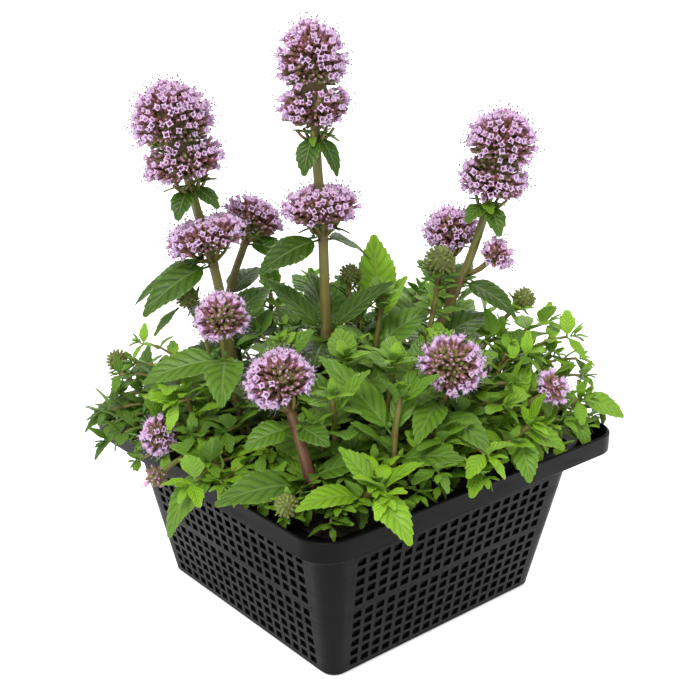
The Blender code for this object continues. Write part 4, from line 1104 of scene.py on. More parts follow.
def tuft(rng, place, axis, length, pairs, outer_lift=18.0, inner_lift=55.0):
    """Pairs of leaves crossed about an axis, the outer ones longest and flattest."""
    axes = cross_axes(axis) if abs(axis.x) < 0.95 else (Vector((0, 1, 0)), axis.cross(Vector((0, 1, 0))))
    start = rng.uniform(0, math.pi)
    blades = []
    for level in range(pairs):
        share = level / max(pairs - 1, 1)
        reach = length * (1 - 0.55 * share) * rng.uniform(0.85, 1.12)
        lift = math.radians(outer_lift + (inner_lift - outer_lift) * share + rng.uniform(-7, 7))
        root = place + axis * (0.12 * length * level)
        for side in (0, 1):
            angle = start + math.pi / 2 * level + math.pi * side + rng.uniform(-0.25, 0.25)
            tip = root + (spoke(axes, angle) * math.cos(lift) + axis * math.sin(lift)) * reach
            blades.append(Blade(root, tip, reach * rng.uniform(0.50, 0.62), rng.uniform(14, 40),
                                rng.uniform(-12, 12)))
    return blades


# Ways that a small leaf is tried in: turn, lift in degrees and size
SETTLING = ((0, 0, 1.0), (14, 0, 1.0), (-14, 0, 1.0), (0, 14, 1.0), (0, -14, 0.9), (22, 10, 0.8),
            (-22, 10, 0.8), (0, 24, 0.7))


def settle(blade, clearance):
    """The blade, turned or lifted a little if need be so that it is clear, or None."""
    for way in SETTLING:
        tried = Blade(blade.root, vary(blade.root, blade.tip, way), blade.width * way[2],
                      math.degrees(blade.bend), math.degrees(blade.roll))
        if not inside_box(tried.tip):
            continue
        points, faces = tried.outline()
        tree = clearance.is_free(points, faces)
        if tree:
            clearance.add(points, tree)
            return tried
    return None


# ---------------------------------------------------------------- node trees for what repeats

def geometry_tree(name, inputs):
    """A geometry node tree with named inputs, its wiring and its two end nodes."""
    tree = bpy.data.node_groups.new(name, "GeometryNodeTree")
    tree.interface.new_socket("Geometry", in_out="INPUT", socket_type="NodeSocketGeometry")
    for label, kind, default in inputs:
        socket = tree.interface.new_socket(label, in_out="INPUT", socket_type="NodeSocket" + kind)
        if default is not None:
            socket.default_value = default
    tree.interface.new_socket("Geometry", in_out="OUTPUT", socket_type="NodeSocketGeometry")
    wiring = Wiring(tree)
    return tree, wiring, wiring.node("NodeGroupInput").outputs, wiring.node("NodeGroupOutput").inputs


def named(wiring, name, kind="FLOAT"):
    return wiring.node("GeometryNodeInputNamedAttribute", {"data_type": kind}, Name=name).outputs["Attribute"]


def run_tree(base, tree, **inputs):
    """The mesh that a tree makes of a base mesh; its inputs are set by their sockets' identifiers."""
    holder = placed("repeats", base)
    modifier = holder.modifiers.new("repeats", "NODES")
    modifier.node_group = tree
    sockets = {item.name: item.identifier for item in tree.interface.items_tree if item.in_out == "INPUT"}
    for label, value in inputs.items():
        modifier[sockets[label.replace("_", " ")]] = value
    bpy.context.view_layer.update()
    mesh = bpy.data.meshes.new_from_object(holder.evaluated_get(bpy.context.evaluated_depsgraph_get()))
    holder.modifiers.clear()
    bpy.data.objects.remove(holder)
    return mesh


def realised(w, geometry, finish):
    """The end of every tree: Realize Instances, then Set Material."""
    real = w.node("GeometryNodeRealizeInstances", Geometry=geometry)
    return w.node("GeometryNodeSetMaterial", Geometry=real.outputs[0], Material=finish).outputs[0]


def scatter_tree():
    """Puts a prototype on every point, turned and sized by the point's own attributes."""
    tree, w, given, out = geometry_tree(
        "repeats on points", [("Prototype", "Object", None), ("Spread", "Float", 0.2), ("Seed", "Int", 3),
                              ("Finish", "Material", None)])
    w.put(out[0], placed_instances(w, given, given["Geometry"], given["Prototype"], None, given["Finish"]))
    return tree


def placed_instances(w, given, points, prototype, chosen, finish):
    """Instances on points with attributes turn and size, realised, with one finish."""
    info = w.node("GeometryNodeObjectInfo", Object=prototype)
    turn = w.node("FunctionNodeEulerToRotation", Euler=named(w, "turn", "FLOAT_VECTOR"))
    low = w.minus(1.0, given["Spread"])
    high = w.plus(1.0, given["Spread"])
    sizes = w.node("FunctionNodeRandomValue", {"data_type": "FLOAT"}, Seed=given["Seed"])
    w.put(sizes.inputs[2], low)
    w.put(sizes.inputs[3], high)
    scale = w.times(sizes.outputs[1], named(w, "size"))
    instances = w.node("GeometryNodeInstanceOnPoints", Points=points, Instance=info.outputs["Geometry"],
                       Rotation=turn.outputs[0], Scale=scale)
    if chosen is not None:
        w.put(instances.inputs["Selection"], chosen)
    return realised(w, instances.outputs[0], finish)


def head_tree():
    """A flower head: calyces on every point, florets with stamens on open ones, buds on the rest."""
    tree, w, given, out = geometry_tree(
        "flower head", [*[(label, "Object", None) for label in ("Calyx", "Floret", "Bud", "Stamens")],
                        ("Spread", "Float", 0.12), ("Seed", "Int", 5),
                        *[(label + " finish", "Material", None) for label in ("Calyx", "Floret", "Stamen")]])
    is_open = w.math("GREATER_THAN", named(w, "open"), 0.5)
    is_closed = w.math("LESS_THAN", w.math("ABSOLUTE", named(w, "open")), 0.5)
    parts = [placed_instances(w, given, given["Geometry"], given[prototype], chosen, given[finish])
             for prototype, chosen, finish in (
                 ("Calyx", None, "Calyx finish"), ("Floret", is_open, "Floret finish"),
                 ("Bud", is_closed, "Floret finish"), ("Stamens", is_open, "Stamen finish"))]
    joined = w.node("GeometryNodeJoinGeometry")
    for part in parts:
        w.put(joined.inputs[0], part)
    w.put(out[0], joined.outputs[0])
    return tree


def panel_tree():
    """A flat panel of square holes: a grid whose odd cells are taken out, then made thick."""
    tree, w, given, out = geometry_tree(
        "mesh panel", [("Columns", "Int", 18), ("Rows", "Int", 6), ("Bar share", "Float", 0.33),
                       ("Low half", "Float", 0.05), ("High half", "Float", 0.06), ("Height", "Float", 0.06),
                       ("Thickness", "Float", 0.0016), ("Finish", "Material", None)])
    cells = [w.plus(w.times(given[label], 2.0), 1.0) for label in ("Columns", "Rows")]
    grid = w.node("GeometryNodeMeshGrid", Size_X=1.0, Size_Y=1.0)
    for label, count in zip(("Vertices X", "Vertices Y"), cells):
        w.put(grid.inputs[label], w.plus(count, 1.0))
    place = w.node("ShaderNodeSeparateXYZ", Vector=w.node("GeometryNodeInputPosition").outputs[0])
    shares = [w.plus(place.outputs[axis], 0.5) for axis in (0, 1)]
    odd = []
    lines = []
    for share, count, label in zip(shares, cells, ("Columns", "Rows")):
        cell = w.times(share, count)
        odd.append(w.math("MODULO", w.math("FLOOR", cell), 2.0))
        line = w.math("ROUND", cell)
        whole = w.plus(w.math("FLOOR", w.times(line, 0.5)),
                       w.times(w.math("MODULO", line, 2.0), given["Bar share"]))
        lines.append(w.math("DIVIDE", whole, w.plus(given[label], given["Bar share"])))
    holes = w.node("GeometryNodeDeleteGeometry", {"domain": "FACE"}, Geometry=grid.outputs[0],
                   Selection=w.times(*odd))
    half = w.node("ShaderNodeMapRange", Value=lines[1])
    w.put(half.inputs["To Min"], given["Low half"])
    w.put(half.inputs["To Max"], given["High half"])
    spot = w.node("ShaderNodeCombineXYZ", Y=w.times(lines[1], given["Height"]),
                  X=w.times(w.minus(w.times(lines[0], 2.0), 1.0), half.outputs[0]))
    flat = w.node("GeometryNodeSetPosition", Geometry=holes.outputs[0], Position=spot.outputs[0]).outputs[0]
    raised = w.node("GeometryNodeExtrudeMesh", {"mode": "FACES"}, Mesh=flat, Offset_Scale=given["Thickness"])
    w.put(raised.inputs["Individual"], False)
    both = w.node("GeometryNodeJoinGeometry")
    w.put(both.inputs[0], raised.outputs["Mesh"])
    w.put(both.inputs[0], w.node("GeometryNodeFlipFaces", Mesh=flat).outputs[0])
    merged = w.node("GeometryNodeMergeByDistance", Geometry=both.outputs[0], Distance=1e-6)
    w.put(out[0], realised(w, merged.outputs[0], given["Finish"]))
    return tree


def crumb_tree():
    """Crumbs strewn over a surface, each turned and sized by chance."""
    tree, w, given, out = geometry_tree(
        "compost crumbs", [("Prototype", "Object", None), ("Density", "Float", 90000.0), ("Seed", "Int", 11),
                           ("Finish", "Material", None)])
    strewn = w.node("GeometryNodeDistributePointsOnFaces", Mesh=given["Geometry"], Density=given["Density"],
                    Seed=given["Seed"])
    turn = w.node("FunctionNodeRandomValue", {"data_type": "FLOAT_VECTOR"}, Seed=given["Seed"])
    w.put(turn.inputs[1], (math.tau, math.tau, math.tau))
    size = w.node("FunctionNodeRandomValue", {"data_type": "FLOAT"}, Seed=given["Seed"])
    w.put(size.inputs[2], 0.45)
    w.put(size.inputs[3], 1.35)
    info = w.node("GeometryNodeObjectInfo", Object=given["Prototype"])
    crumbs = w.node("GeometryNodeInstanceOnPoints", Points=strewn.outputs["Points"],
                    Instance=info.outputs["Geometry"], Scale=size.outputs[1],
                    Rotation=w.node("FunctionNodeEulerToRotation", Euler=turn.outputs[0]).outputs[0])
    w.put(out[0], realised(w, crumbs.outputs[0], given["Finish"]))
    return tree


# ---------------------------------------------------------------- florets, buds and heads

def turned_part(name, rings, sides):
    """A part turned about Z from rings (radius, height, flare, peak, along, throat).

    Flare and peak push every second point out and up, which makes the lobes and teeth.
    """
    points = []
    along = []
    throat = []
    for radius, height, flare, peak, share, deep in rings:
        for i in range(sides):
            odd = i % 2
            angle = math.tau * i / sides
            reach = radius * (1 + flare * (1 if odd else -0.5))
            points.append((reach * math.cos(angle) * MM, reach * math.sin(angle) * MM,
                           (height + peak * odd) * MM))
            along.append(share)
            throat.append(deep)
    mesh = bpy.data.meshes.new(name)
    mesh.from_pydata(points, [], tube_faces(len(rings), sides))
    for label, values in (("along", along), ("throat", throat)):
        mesh.attributes.new(label, "FLOAT", "POINT").data.foreach_set("value", values)
    mesh.polygons.foreach_set("use_smooth", [True] * len(mesh.polygons))
    return mesh


def prototype(name, mesh):
    """An object, hidden from renders, that the node trees repeat; it is removed once they have run."""
    item = placed(name, mesh)
    item.hide_render = True
    return item


def stamen_mesh():
    """A thin filament that leans a little and ends in a small anther, and a shorter one beside it."""
    bm = bmesh.new()
    along = bm.verts.layers.float.new("along")
    for lean, turn, length in ((0.06, 0.4, 9.0), (0.16, 3.0, 7.3)):
        way = Vector((lean * math.cos(turn), lean * math.sin(turn), 1.0)).normalized()
        spin = Vector((0, 0, 1)).rotation_difference(way).to_matrix().to_4x4()
        rings = [[bm.verts.new(spin @ Vector((0.05 * math.cos(a), 0.05 * math.sin(a), z)) * MM)
                  for a in (0.0, 2.1, 4.2)] for z in (3.8, length)]
        for i in range(3):
            bm.faces.new((rings[0][i], rings[0][(i + 1) % 3], rings[1][(i + 1) % 3], rings[1][i]))
        bm.faces.new(rings[0][::-1])
        for vertex in rings[1]:
            vertex[along] = 0.6
        tip = spin @ Vector((0, 0, length))
        corners = [bm.verts.new((tip + Vector(way)) * MM) for way in (
            (0.42, 0, 0), (0, 0.42, 0), (-0.42, 0, 0), (0, -0.42, 0), (0, 0, 0.42), (0, 0, -0.42))]
        for vertex in corners:
            vertex[along] = 1.0
        for i in range(4):
            bm.faces.new((corners[i], corners[(i + 1) % 4], corners[4]))
            bm.faces.new((corners[(i + 1) % 4], corners[i], corners[5]))
    return baked("stamens", bm)


def head_prototypes():
    """The parts that a flower head repeats, by the names of the tree's inputs."""
    return {
        "Calyx": prototype("proto_calyx", turned_part("calyx", [
            (0.22, -2.4, 0, 0, 0.0, 0), (0.66, 0.5, 0, 0, 0.3, 0), (0.80, 3.3, 0.16, 0.9, 1.0, 0),
            (0.40, 2.9, 0, 0, 0.3, 0)], 6)),
        # The last number of each floret and bud ring is its share of the painted shade: deep in the floret's
        # mouth, and over a bud, less at its tip.
        "Floret": prototype("proto_floret", turned_part("floret", [
            (0.50, 2.4, 0, 0, 0.1, 0), (0.98, 4.7, 0.06, 0.1, 0.6, 0), (1.40, 6.0, 0.40, 0.45, 1.0, 0),
            (0.86, 5.4, 0.16, 0.2, 0.85, 0.15), (0.50, 4.0, 0, 0, 0.5, 0.95)], 8)),
        "Bud": prototype("proto_bud", turned_part("bud", [
            (0.46, 2.0, 0, 0, 0.0, 0.3), (0.62, 3.5, 0, 0, 0.12, 0.3), (0.26, 4.4, 0, 0, 0.35, 0.1)], 6)),
        "Stamens": prototype("proto_stamens", stamen_mesh()),
    }


# Rows of florets of each kind of head, from the top down: share of the radius, share of the height,
# rise in degrees, share that is in bloom, and how green the calyces are
HEAD_ROWS = {
    "tall": [(0.06, 1.0, 88, 0.9, 0.0), (0.34, 0.975, 66, 0.9, 0.0), (0.58, 0.915, 50, 0.85, 0.0),
             (0.78, 0.83, 34, 0.8, 0.0), (0.92, 0.73, 20, 0.75, 0.05), (0.99, 0.62, 6, 0.7, 0.15),
             (0.95, 0.52, -6, 0.5, 0.45), (0.82, 0.44, -14, 0.25, 0.8), (0.79, 0.385, 30, 0.3, 0.6),
             (0.94, 0.32, 22, 0.7, 0.2), (1.0, 0.22, 8, 0.7, 0.1), (0.90, 0.12, -8, 0.4, 0.3),
             (0.62, 0.05, -24, 0.1, 0.7)],
    "dome": [(0.06, 1.0, 88, 0.8, 0.0), (0.36, 0.96, 66, 0.8, 0.0), (0.62, 0.87, 48, 0.8, 0.0),
             (0.83, 0.72, 32, 0.75, 0.0), (0.96, 0.52, 16, 0.7, 0.05), (1.0, 0.32, 2, 0.6, 0.2),
             (0.86, 0.12, -12, 0.15, 0.6), (0.55, 0.02, -26, 0.0, 0.9)],
    "whorl": [(0.36, 1.06, 78, 0.8, 0.0), (0.58, 1.02, 62, 0.8, 0.0), (0.78, 0.90, 46, 0.8, 0.0),
              (0.93, 0.72, 30, 0.75, 0.0), (1.0, 0.48, 14, 0.7, 0.05), (0.95, 0.26, 0, 0.5, 0.25),
              (0.76, 0.10, -14, 0.1, 0.6)],
}
# Heads whose closed buds look one way (r, n, z), and the cosine of how far round they reach
CLOSED_SIDES = {
    "head_front_left": ((0.30, 0.85, 0.25), 0.66),
    "head_front_centre": ((0.30, 0.80, 0.45), 0.78),
    "head_front_right": ((-0.20, 0.75, 0.50), 0.66),
    "head_right_short": ((0.6, 0.3, -0.5), 0.72),
}
# Share in bloom and greenness: on the closed side of such a head, on its other side, and of other heads
SHUT = (0.02, 0.5)
BLOOMING = (0.88, 0.1)
OWN_BLOOM = {"head_left_fading": (0.03, 0.6), "head_left_low": (0.65, 0.3), "head_right_low": (0.65, 0.3)}


def head_spots(name, kind, foot, axis, radius, height, rng):
    """The florets on a head's surface, and under them the closed calyces of a denser inner layer."""
    return [spot for spacing, depth in ((FLORET_SPACING, 0.0), (CALYX_SPACING, CALYX_DEPTH))
            for spot in head_layer(name, kind, foot, axis, radius, height, rng, spacing, depth)]


def head_layer(name, kind, foot, axis, radius, height, rng, spacing, depth):
    """One layer of a head: (base, way, size, open, green, tone) of each floret or calyx."""
    rows = HEAD_ROWS[kind]
    reach = [0.0]
    for low, high in zip(rows, rows[1:]):
        reach.append(reach[-1] + math.dist((radius * low[0], height * low[1]),
                                           (radius * high[0], height * high[1])))
    number = max(4, round(reach[-1] / spacing) + 1)
    spin = Vector((0, 0, 1)).rotation_difference(axis)
    closed = CLOSED_SIDES.get(name)
    spots = []
    for row in range(number):
        here = reach[-1] * row / (number - 1)
        share, rise_share, rise, bloom, green = (
            float(np.interp(here, reach, [line[k] for line in rows])) for k in range(5))
        count = max(1, round(math.tau * radius * share / spacing))
        start = rng.uniform(0, math.tau)
        for i in range(count):
            angle = start + math.tau * (i + rng.uniform(-0.30, 0.30)) / count
            tilt = math.radians(rise + rng.uniform(-15, 15))
            out = direction(angle + rng.uniform(-0.2, 0.2), tilt)
            flat = radius * share + rng.uniform(-1.5, 0.7)
            level = height * rise_share + rng.uniform(-1.3, 0.7)
            tip = Vector((flat * math.cos(angle), flat * math.sin(angle), level))
            size = rng.uniform(0.82, 1.15)
            base = tip - out * (FLORET_LENGTH * size + depth)
            if base.x * math.cos(angle) + base.y * math.sin(angle) < 0.5:
                base = Vector((0.5 * math.cos(angle), 0.5 * math.sin(angle), base.z))
                out = (tip - base).normalized()
                size = max((tip - base).length - depth, 3.0) / FLORET_LENGTH
            world_out = spin @ out
            if closed:
                on_closed_side = world_out.dot(to_world(*closed[0]).normalized()) > closed[1]
                bloom, green = SHUT if on_closed_side else BLOOMING
            bloom, green = OWN_BLOOM.get(name, (bloom, green))
            if depth:
                opened = -1.0 if rng.random() < 0.8 else 0.0
            else:
                opened = 1.0 if rng.random() < bloom else 0.0
            spots.append((spin @ base + foot, world_out, min(size, 1.15), opened,
                          min(1.0, max(0.0, green + rng.uniform(-0.25, 0.25))),
                          0.6 * rng.random() + 0.4 * max(0.0, out.z)))
    return spots


def core_solid(kind, foot, axis, radius, height, hole):
    """The dark inner body that the florets stand on, round the stem."""
    spin = Vector((0, 0, 1)).rotation_difference(axis)
    points = []
    rows = HEAD_ROWS[kind][::-1]
    for share, rise, tilt, _, _ in rows:
        r = max(radius * share - CORE_INSET * math.cos(math.radians(tilt)), min(radius * share, hole))
        h = height * rise - CORE_INSET * math.sin(math.radians(tilt))
        points.extend([spin @ Vector((r * math.cos(angle), r * math.sin(angle), h)) + foot
                       for angle in [math.tau * i / CORE_SIDES for i in range(CORE_SIDES)]])
    return points, tube_faces(len(rows), CORE_SIDES)


def spots_mesh(spots):
    """Loose points with the attributes that the head's tree reads."""
    mesh = bpy.data.meshes.new("spots")
    mesh.from_pydata([tuple(place * MM) for place, *_ in spots], [], [])
    turns = []
    rng = random.Random(len(spots))
    for _, out, *_ in spots:
        turn = out.to_track_quat("Z", "Y").to_matrix() @ Matrix.Rotation(rng.uniform(0, math.tau), 3, "Z")
        turns.extend(turn.to_euler())
    mesh.attributes.new("turn", "FLOAT_VECTOR", "POINT").data.foreach_set("vector", turns)
    for label, values in (("size", [spot[2] for spot in spots]), ("open", [float(spot[3]) for spot in spots]),
                          ("green", [spot[4] for spot in spots]), ("tone", [spot[5] for spot in spots])):
        mesh.attributes.new(label, "FLOAT", "POINT").data.foreach_set("value", values)
    return mesh


def joined(name, meshes):
    """One mesh of several, with their materials and attributes kept."""
    items = [placed(name, mesh) for mesh in meshes]
    with bpy.context.temp_override(active_object=items[0], selected_editable_objects=items,
                                   selected_objects=items, object=items[0]):
        bpy.ops.object.join()
    mesh = items[0].data
    bpy.data.objects.remove(items[0])
    mesh.name = name
    return mesh


def add_peduncles(gathered, foot, axis, radius, rng, number=7):
    """Short stalks that fan out from the stem and carry a head's lowest florets."""
    axes = cross_axes(axis)
    for k in range(number):
        angle = math.tau * k / number + rng.uniform(-0.2, 0.2)
        out = spoke(axes, angle)
        start = foot - axis * 5.5 + out * 1.4
        end = foot + axis * 1.2 + out * radius * rng.uniform(0.34, 0.55)
        bowed = start.lerp(end, 0.5) + out * 0.7 - axis * 0.5
        add_stem(gathered, Stem([start, bowed, end], 1.5, 1.0), (), 0.25, spacing=2.0)


def add_bracts(gathered, foot, axis, radius, rng, number=6):
    """Small narrow leaves under a head."""
    axes = cross_axes(axis)
    for k in range(number):
        angle = math.tau * k / number + rng.uniform(-0.3, 0.3)
        out = spoke(axes, angle)
        root = foot + out * 1.5 - axis * 1.0
        lift = math.sin(rng.uniform(-0.5, 0.35))
        tip = root + (out * math.cos(0.1) + axis * lift) * radius * rng.uniform(0.45, 0.65)
        add_leaf(gathered, Blade(root, tip, radius * 0.16, 20, 0), 0.12, rng.random())


# ---------------------------------------------------------------- basket

def rounded_square(half, corner, z, steps=8):
    """Points round a square with rounded corners, counter-clockwise."""
    points = []
    for quarter in range(4):
        centre = half - corner
        cx = centre * (1 if quarter in (0, 3) else -1)
        cy = centre * (1 if quarter in (0, 1) else -1)
        for step in range(steps + 1):
            angle = math.pi / 2 * (quarter + step / steps)
            points.append((cx + corner * math.cos(angle), cy + corner * math.sin(angle), z))
    return points


def band(loops):
    """A closed ring of material through loops that end where they began."""
    count = len(loops[0])
    points = [point for loop in loops for point in loop]
    faces = []
    for level in range(len(loops)):
        above = (level + 1) % len(loops)
        for i in range(count):
            j = (i + 1) % count
            faces.append((level * count + i, level * count + j, above * count + j, above * count + i))
    return points, faces


def wall_size(foot, top, z):
    """A size of the leaning wall at a height, from its sizes at the floor and at the shelf."""
    return foot + (top - foot) * z / SHELF


def wall_loop(z, inset):
    """Half side and corner radius of the wall's outline at a height, drawn in by an inset."""
    return (wall_size(BASE_SIDE, WALL_TOP_SIDE, z) / 2 - inset,
            max(wall_size(BASE_CORNER, WALL_TOP_CORNER, z) - inset, 0.6))


def corner_post(quarter, low, high):
    """One rounded corner of the wall between its two mesh panels."""
    loops = []
    for z in (low, high):
        reach = wall_size(MESH_HALF_AT_FLOOR, MESH_HALF_AT_SHELF, z)
        for inset in (0.0, WALL):
            half, corner = wall_loop(z, inset)
            points = [(half, reach), (half, half - corner)]
            points.extend([(half - corner + corner * math.cos(a), half - corner + corner * math.sin(a))
                           for a in [math.pi / 2 * i / 8 for i in range(1, 8)]])
            points.extend([(half - corner, half), (reach, half)])
            turn = Matrix.Rotation(math.pi / 2 * quarter, 2)
            loops.append([(*(turn @ Vector(point)), z) for point in points])
    outer_low, inner_low, outer_high, inner_high = loops
    count = len(outer_low)
    faces = []
    for i in range(count - 1):
        faces.extend([tuple(low * count + i + step for low, step in corners) for corners in (
            ((0, 0), (0, 1), (2, 1), (2, 0)), ((1, 1), (1, 0), (3, 0), (3, 1)),
            ((2, 0), (2, 1), (3, 1), (3, 0)), ((0, 1), (0, 0), (1, 0), (1, 1)))])
    faces.append((0, 2 * count, 3 * count, count))
    faces.append(tuple(low * count - 1 for low in (1, 2, 4, 3)))
    return [*outer_low, *inner_low, *outer_high, *inner_high], faces


def plain_mesh(name, parts, material, smooth_angle):
    """A mesh of several point and face lists, merged and turned outwards."""
    bm = bmesh.new()
    for points, faces in parts:
        vertices = [bm.verts.new(Vector(point) * MM) for point in points]
        for face in faces:
            bm.faces.new([vertices[i] for i in face])
    bmesh.ops.recalc_face_normals(bm, faces=bm.faces)
    mesh = baked(name, bm)
    mesh.materials.append(material)
    mesh.polygons.foreach_set("use_smooth", [True] * len(mesh.polygons))
    mesh.set_sharp_from_angle(angle=math.radians(smooth_angle))
    return mesh


def basket_frame():
    """Rim, shelf, wall bands, corner posts and foot, all but the mesh panels."""
    rim = band([rounded_square(*wall_loop(SHELF, 0.0), SHELF),
                *[rounded_square(RIM_SIDE / 2 - inset, RIM_CORNER - inset, z) for inset, z in (
                    (ROUNDING, SHELF), (0.0, SHELF + ROUNDING), (0.0, RIM_TOP - ROUNDING),
                    (ROUNDING, RIM_TOP), (LIP - ROUNDING, RIM_TOP), (LIP, RIM_TOP - ROUNDING),
                    (LIP, SHELF + WALL))],
                rounded_square(*wall_loop(SHELF, WALL), SHELF + WALL)])
    upper = band([rounded_square(*wall_loop(MESH_HIGH, 0.0), MESH_HIGH),
                  rounded_square(*wall_loop(SHELF, 0.0), SHELF),
                  rounded_square(*wall_loop(SHELF, WALL), SHELF + WALL * 0.5),
                  rounded_square(*wall_loop(MESH_HIGH, WALL), MESH_HIGH)])
    lower = band([rounded_square(BASE_SIDE / 2 - 1.2, BASE_CORNER - 1.2, 0.0),
                  rounded_square(BASE_SIDE / 2 - 0.2, BASE_CORNER, 1.0),
                  rounded_square(*wall_loop(1.8, -0.15), 1.8),
                  rounded_square(*wall_loop(MESH_LOW, 0.0), MESH_LOW),
                  rounded_square(*wall_loop(MESH_LOW, WALL), MESH_LOW),
                  rounded_square(BASE_SIDE / 2 - FLOOR_EDGE, 2.0, FLOOR),
                  rounded_square(BASE_SIDE / 2 - FLOOR_EDGE, 2.0, 0.0)])
    posts = [corner_post(quarter, MESH_LOW, MESH_HIGH) for quarter in range(4)]
    return [rim, upper, lower, *posts]


def empty_mesh():
    """A mesh of one point, for a tree that makes its own geometry."""
    mesh = bpy.data.meshes.new("start")
    mesh.from_pydata([(0, 0, 0)], [], [])
    return mesh


def panel(tree, layout, low, high, rows, quarter):
    """One mesh panel of a wall, leaning with it."""
    halves = [wall_size(MESH_HALF_AT_FLOOR, MESH_HALF_AT_SHELF, z) for z in (low, high)]
    feet = [wall_loop(z, WALL)[0] for z in (low, high)]
    lean = math.atan2(feet[1] - feet[0], high - low)
    mesh = run_tree(empty_mesh(), tree, Columns=layout.columns, Rows=rows, Bar_share=layout.bar_share,
                    Low_half=halves[0] * MM, High_half=halves[1] * MM, Thickness=WALL * MM,
                    Height=math.hypot(high - low, feet[1] - feet[0]) * MM, Finish=finish("plastic"))
    upright = Matrix.Rotation(math.pi / 2, 4, "X")
    leaning = Matrix.Rotation(lean, 4, "X")
    place = Matrix.Translation((0, -feet[0] * MM, low * MM))
    mesh.transform(Matrix.Rotation(math.pi / 2 * quarter, 4, "Z") @ place @ leaning @ upright)
    return mesh


# ---------------------------------------------------------------- settings

def colour_setting(name, about, *value):
    return FloatVectorProperty(name=name, description=about, default=value, subtype="COLOR", size=3,
                               min=0, max=1)


class MintColours(bpy.types.PropertyGroup):
    """Colours of the finishes."""
    # The dark leaf colour is also the painted shade in the leaf's grooves and sunken side veins.
    leaf_dark: colour_setting("Dark leaf", "Colour of the oldest, largest leaves", 0.022, 0.050, 0.005)
    leaf_middle: colour_setting("Leaf", "Colour of ordinary leaves", 0.098, 0.205, 0.016)
    # The bright leaf colour also tints the painted highlight on the swells between the veins.
    leaf_bright: colour_setting("Bright leaf", "Colour of young leaves", 0.25, 0.47, 0.02)
    leaf_vein: colour_setting("Vein", "Colour of veins and margins", 0.30, 0.44, 0.11)
    leaf_under: colour_setting("Underside", "Colour of a leaf's underside", 0.18, 0.30, 0.08)
    stem_olive: colour_setting("Stem", "Colour of a stem", 0.14, 0.165, 0.028)
    stem_tan: colour_setting("Stem streaks", "Colour of a stem's streaks", 0.20, 0.16, 0.042)
    stem_red: colour_setting("Reddened stem", "Colour of nodes and sunny stems", 0.14, 0.04, 0.04)
    floret_tube: colour_setting("Floret tube", "Colour at a floret's foot", 0.46, 0.15, 0.28)
    floret_body: colour_setting("Floret", "Colour of a floret", 0.52, 0.32, 0.60)
    floret_rim: colour_setting("Floret mouth", "Colour of a floret's lobes", 0.74, 0.56, 0.82)
    floret_pink: colour_setting("Pink floret", "Colour that some florets turn to", 0.72, 0.34, 0.46)
    # Painted shade: a dark colour for inside a floret's mouth, where shade falls.
    floret_throat_shade: colour_setting("Throat", "Colour inside a floret", 0.16, 0.07, 0.07)
    calyx_maroon: colour_setting("Calyx", "Colour of a sunny calyx", 0.12, 0.026, 0.036)
    calyx_brown: colour_setting("Brown calyx", "Colour of an old calyx", 0.19, 0.085, 0.045)
    calyx_olive: colour_setting("Olive calyx", "Colour of a shaded calyx", 0.10, 0.13, 0.03)
    calyx_lime: colour_setting("Lime calyx", "Colour of a young calyx", 0.26, 0.36, 0.07)
    calyx_tip: colour_setting("Calyx teeth", "Colour of a calyx's teeth", 0.42, 0.20, 0.22)
    anther: colour_setting("Anther", "Colour of the anthers", 0.035, 0.015, 0.02)
    plastic: colour_setting("Basket", "Colour of the plastic", 0.003, 0.003, 0.0033)
    compost: colour_setting("Compost", "Colour of the compost", 0.035, 0.022, 0.014)


class MintLayout(bpy.types.PropertyGroup):
    """Numbers and sizes of what repeats."""
    seed: IntProperty(name="Seed", description="Start of every random draw", default=23, min=0)
    columns: IntProperty(name="Columns", description="Holes across one side of the basket", default=18, min=4)
    rows_low: IntProperty(name="Lower rows", description="Rows of holes below the middle bar",
                          default=6, min=1)
    rows_high: IntProperty(name="Upper rows", description="Rows of holes above the middle bar",
                           default=5, min=1)
    bar_share: FloatProperty(name="Bar share", description="Bar width over the holes' spacing",
                             default=0.33, min=0.1, max=0.8, subtype="FACTOR")
    shoots: IntProperty(name="Small shoots", description="Short shoots between the named ones",
                        default=120, min=0)
    crumbs: FloatProperty(name="Crumbs", description="Compost crumbs on a square metre",
                          default=20000.0, min=0)
    drops: IntProperty(name="Drops", description="Water drops on the larger leaves", default=70, min=0)
    lamp: FloatProperty(name="Key lamp", description="Strength of the key lamp", default=2.1, min=0)
    surroundings: FloatProperty(name="Surroundings", description="Strength of the even studio light",
                                default=0.78, min=0)


FINISHES = {}


def finish(name):
    """A finish by name; all are made from the colour settings at the first call."""
    if not FINISHES:
        colours = bpy.context.scene.mint_colours
        groups = {"mottle": mottle_group(), "veins": vein_group()}
        FINISHES.update(
            leaf=leaf_material(colours, groups), stem=stem_material(colours, groups),
            floret=corolla_material(colours, groups), calyx=calyx_material(colours, groups),
            stamen=stamen_material(colours, groups), plastic=plastic_material(colours.plastic, groups),
            compost=soil_material(colours.compost, groups), water=water_material())
    return FINISHES[name]


PLAN = {}


def plan():
    """The stems and leaves of every leafy shoot, worked out once."""
    if not PLAN:
        PLAN.update(planned_shoots())
    return PLAN


# ---------------------------------------------------------------- pieces

